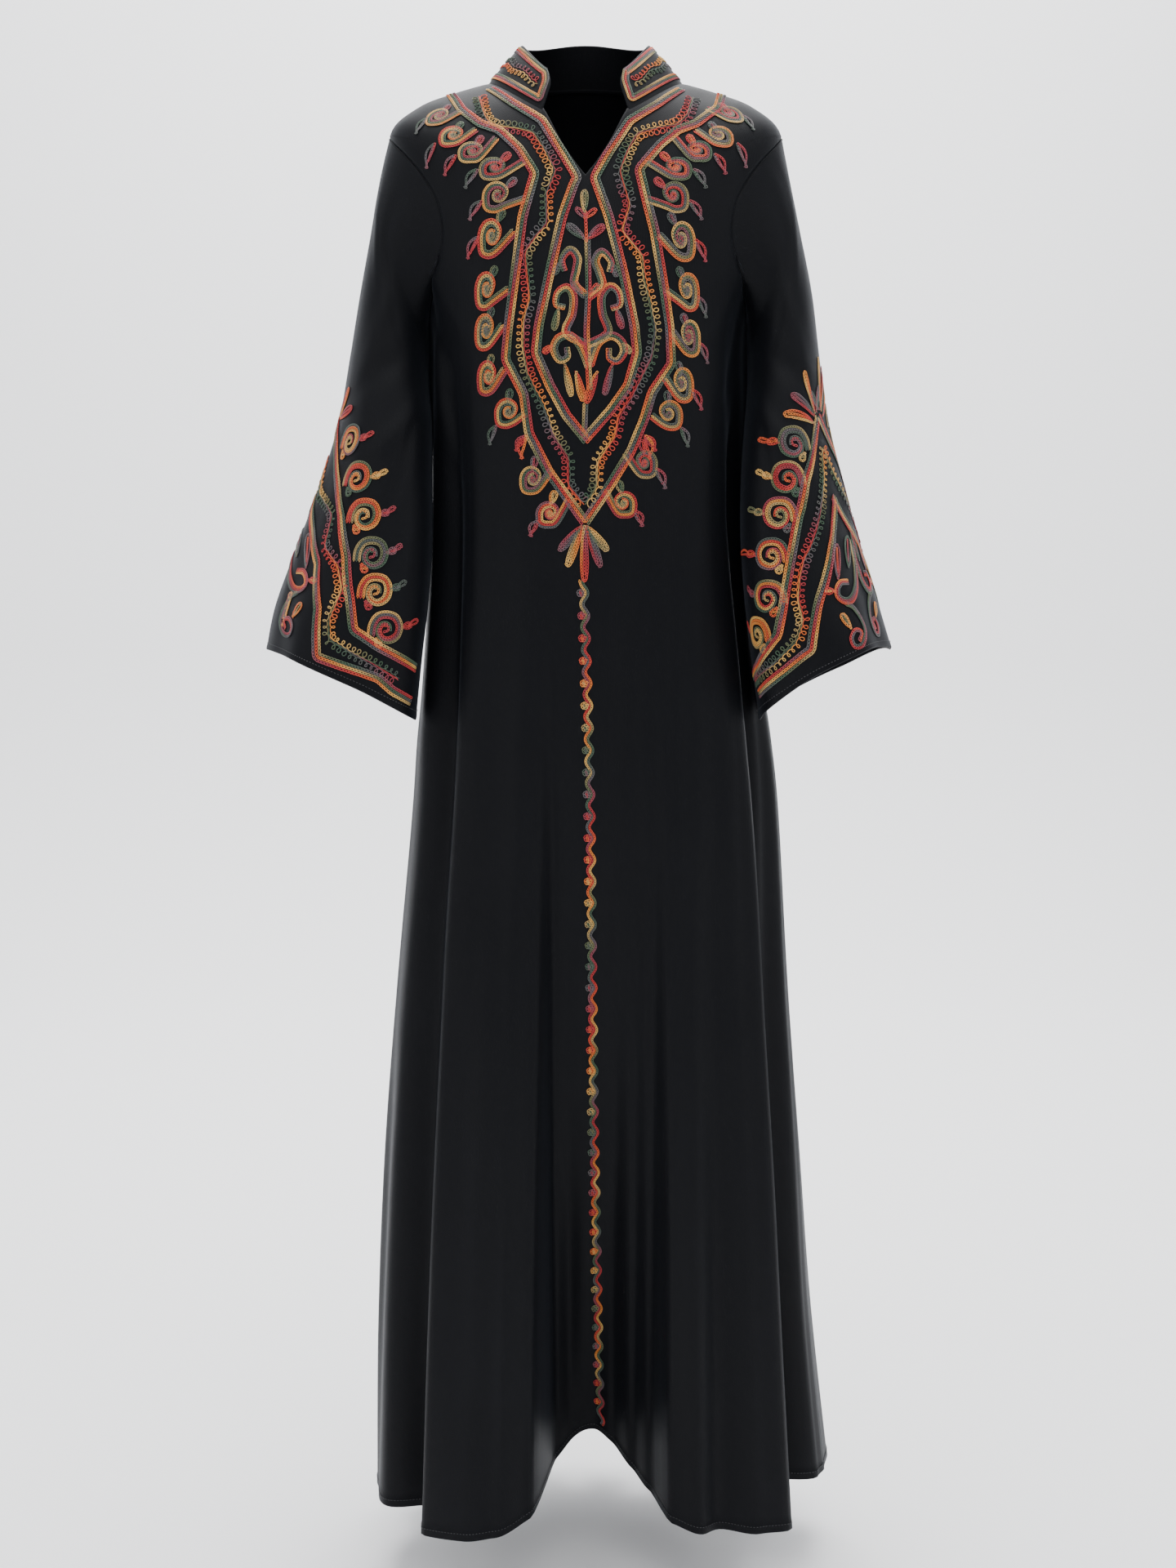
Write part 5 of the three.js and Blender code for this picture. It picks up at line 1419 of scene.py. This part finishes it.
def sewSleeve(side, word):
    work = sleeveWork[side]
    ground = sleeveGround(side)
    outerThreads, innerThreads, cordThreads = Threads("outer"), Threads("inner"), Threads("cords")
    for half in (1, -1):  # in front of the arrow's axis, and behind it
        def folded(points):
            flat = np.array(points, float)
            return np.stack([flat[:, 0] if half > 0 else 2 * work["axis"] - flat[:, 0], flat[:, 1]], -1)
        for threads, name, later in ((outerThreads, "outer", 0), (innerThreads, "inner", 0.5)):
            line = onSleeve(ground, eased(folded(work[name]), 3))
            threads.band(line, work["shade"] + later, 3, sleeveStitch["band"])
        flip = -side * half
        for x, y, *shades in work["scrolls"]:
            x, y = folded([(x, y)])[0]
            place = ground.frameAt(*sleevePlace(x, y))
            sewSleeveScroll(outerThreads, ground, place, shades, flip)
        for root, tip, shade in work["petals"]:
            ends = folded([root, tip])
            petal(outerThreads, lambda flat: onSleeve(ground, flat), ends[0], ends[1], 3.4, shade, 0.6)
        wave = onSleeve(ground, eased(folded(work["wave"]), 4))
        cordThreads.row(wave, work["shade"] + 0.1, sleeveStitch["cord"], 0)
        for edge, shade in ((1, 0.78), (-1, 0.02)):
            cordThreads.coils(wave, edge, work["shade"] + shade, sleeveStitch["coil"],
                              sleeveStitch["coilPitch"], sleeveStitch["coil"] + 0.9, 0.6)
        x, y = folded([work["figure"]])[0]
        place = ground.frameAt(*sleevePlace(x, y))
        if half > 0:
            centre = np.array([place[0][0], place[0][2]])
            sewFigure(innerThreads, lambda flat: ground.drawn(flat + centre), side, work["shade"])
        else:
            sewFigure(innerThreads, lambda flat: ground.laid(place, flat), -side, work["shade"])
    finished(sewn(outerThreads, f"sleeve_border_{word}_thread", chainLink, stitch["pitch"],
                  threadFinishes["crimson_thread"]), "crimson_thread", None, f"sleeve_border_{word}")
    rows = sewn(innerThreads, f"cuffRows{word}", chainLink, stitch["pitch"], threadFinishes["gold_thread"])
    cords = sewn(cordThreads, f"cuffCords{word}", cordLink, stitch["cordPitch"],
                 threadFinishes["gold_thread"])
    finished(joined(f"cuff_border_{word}_thread", rows, cords), "gold_thread", None, f"cuff_border_{word}")


for side, word in ((1, "left"), (-1, "right")):
    sewSleeve(side, word)
print("sleeves sewn")


# collar work and hems
collarWork = {
    "edges": (0.012, 0.988),  # how near the rows come to the front ends
    "top": 0.87,
    "low": 0.14,
    "coils": ((0.585, 1, 0.05), (0.43, -1, 0.45)),  # rise, side, shade
    "size": 0.52,
    "shade": 0.22,
}


def onCollar(turns, rises):
    normal = collarNormal(turns, rises)
    out = stitch["lift"] + 0.9 * np.sin(math.pi * rises)[:, None] ** 0.8
    return collarPoint(turns, rises) + normal * out, normal


def collarRing():
    # round the band inside its edges: along the top, down one end, back along the seam, up the other
    near, far = collarWork["edges"]
    along = np.linspace(near, far, 300)
    down = np.linspace(collarWork["top"], collarWork["low"], 16)
    turns = np.concatenate([along, np.full(16, far), along[::-1], np.full(16, near)])
    rises = np.concatenate([np.full(300, down[0]), down, np.full(300, down[-1]), down[::-1]])
    return np.stack([turns, rises], -1)


collarThreads, collarCords = Threads("collarRows"), Threads("collarCords")
ring = collarRing()
for _ in range(3):
    ring[1:-1] = (ring[:-2] + 2 * ring[1:-1] + ring[2:]) / 4
collarThreads.band(onCollar(ring[:, 0], ring[:, 1]), collarWork["shade"], 3, collarWork["size"])
for rise, edge, shade in collarWork["coils"]:
    turns = np.linspace(0.03, 0.97, 400)
    line = onCollar(turns, rise + 0.03 * np.sin(turns * 90))
    collarCords.coils(line, edge, shade, 2.5, 5.8, 0.4, 0.6)
collarRows = sewn(collarThreads, "collarRows", chainLink, stitch["pitch"], threadFinishes["gold_thread"])
collarLoops = sewn(collarCords, "collarLoops", cordLink, stitch["cordPitch"], threadFinishes["gold_thread"])
finished(joined("collar_thread", collarRows, collarLoops), "gold_thread")
hemStitch = {"lift": 0.62, "pitch": 3.4}


def hemLine(threads, points, normals):
    threads.row((points + normals * hemStitch["lift"], normals), 0.0, 1.0, None)


hemThreads = Threads("hems")
hemLevels = hemLevel - body["hemBand"] / body["skirtLevel"]
for low, high in ((-89.4, 89.4), (90.6, 269.4)):
    angles = np.linspace(low, high, 700)
    hemLine(hemThreads, bodyPoint(angles, hemLevels + 0 * angles),
            bodyNormal(angles, hemLevels + 0 * angles))
finished(sewn(hemThreads, "hem_stitches", hemLink, hemStitch["pitch"], hemThread), "crepe")
for side, word in ((1, "left"), (-1, "right")):
    cuffThreads = Threads("cuffs" + word)
    turns = np.linspace(0, 360, 400)
    levels = np.full(400, cuffLevel - 0.21)
    hemLine(cuffThreads, sleevePoint(side, turns, levels), sleeveNormal(side, turns, levels))
    cuffStitches = sewn(cuffThreads, f"cuff_stitches_{word}", hemLink, hemStitch["pitch"], hemThread)
    finished(cuffStitches, "crepe")
print("edges sewn")


for link in (chainLink, cordLink, hemLink):
    bpy.data.objects.remove(link)


# floor, light and camera
room = {"floor": -1.585, "depth": 3.2, "width": 9.0, "bend": 0.8}


def backdrop():
    # a pale floor that sweeps up into the wall behind
    profile = [(-4.5, room["floor"])]
    for i in range(13):
        turn = math.radians(90 * i / 12)
        profile.append((room["depth"] - room["bend"] + room["bend"] * math.sin(turn),
                        room["floor"] + room["bend"] * (1 - math.cos(turn))))
    profile.append((room["depth"], 4.0))
    half = room["width"] / 2
    points = [(side * half, y, z) for y, z in profile for side in (-1, 1)]
    faces = [(2 * i, 2 * i + 1, 2 * i + 3, 2 * i + 2) for i in range(len(profile) - 1)]
    mesh = bpy.data.meshes.new("paleFloor")
    mesh.from_pydata(points, [], faces)
    mesh.shade_smooth()
    made = bpy.data.objects.new("paleFloor", mesh)
    bpy.context.scene.collection.objects.link(made)
    paint = Finish("paleFloor", **{"Base Color": (0.93, 0.93, 0.935, 1), "Roughness": 0.9})
    mesh.materials.append(paint.material)
    made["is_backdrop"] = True


def areaLight(name, place, aim, size, power, colour=(1, 1, 1)):
    lamp = bpy.data.lights.new(name, "AREA")
    lamp.shape, lamp.size, lamp.energy, lamp.color = "SQUARE", size, power, colour
    made = bpy.data.objects.new(name, lamp)
    made.location = place
    made.rotation_euler = (Vector(aim) - Vector(place)).to_track_quat("-Z", "Y").to_euler()
    bpy.context.scene.collection.objects.link(made)


backdrop()
areaLight("ceilingSoft", (0.1, -1.3, 2.3), (0, 0, -0.5), 2.6, 50)
areaLight("leftSoft", (-2.6, -2.4, 0.6), (0, 0, -0.6), 1.8, 24)
areaLight("rightSoft", (2.6, -2.0, 0.8), (0, 0, -0.6), 1.8, 20)
areaLight("backWash", (0, 1.2, 2.8), (0, 2.8, -0.9), 3.0, 320)
world = bpy.data.worlds.new("studio")
world.use_nodes = True
world.node_tree.nodes["Background"].inputs[0].default_value = (0.93, 0.95, 1.0, 1)
world.node_tree.nodes["Background"].inputs[1].default_value = 0.8
bpy.context.scene.world = world

view = bpy.data.cameras.new("front")
view.lens = 46.35
cameraObject = bpy.data.objects.new("front", view)
cameraObject.location = (0.0025, -2.16, -0.43)
cameraObject.rotation_euler = (math.radians(90 - 7.56), 0, 0)
bpy.context.scene.collection.objects.link(cameraObject)
bpy.context.scene.camera = cameraObject

low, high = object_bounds()
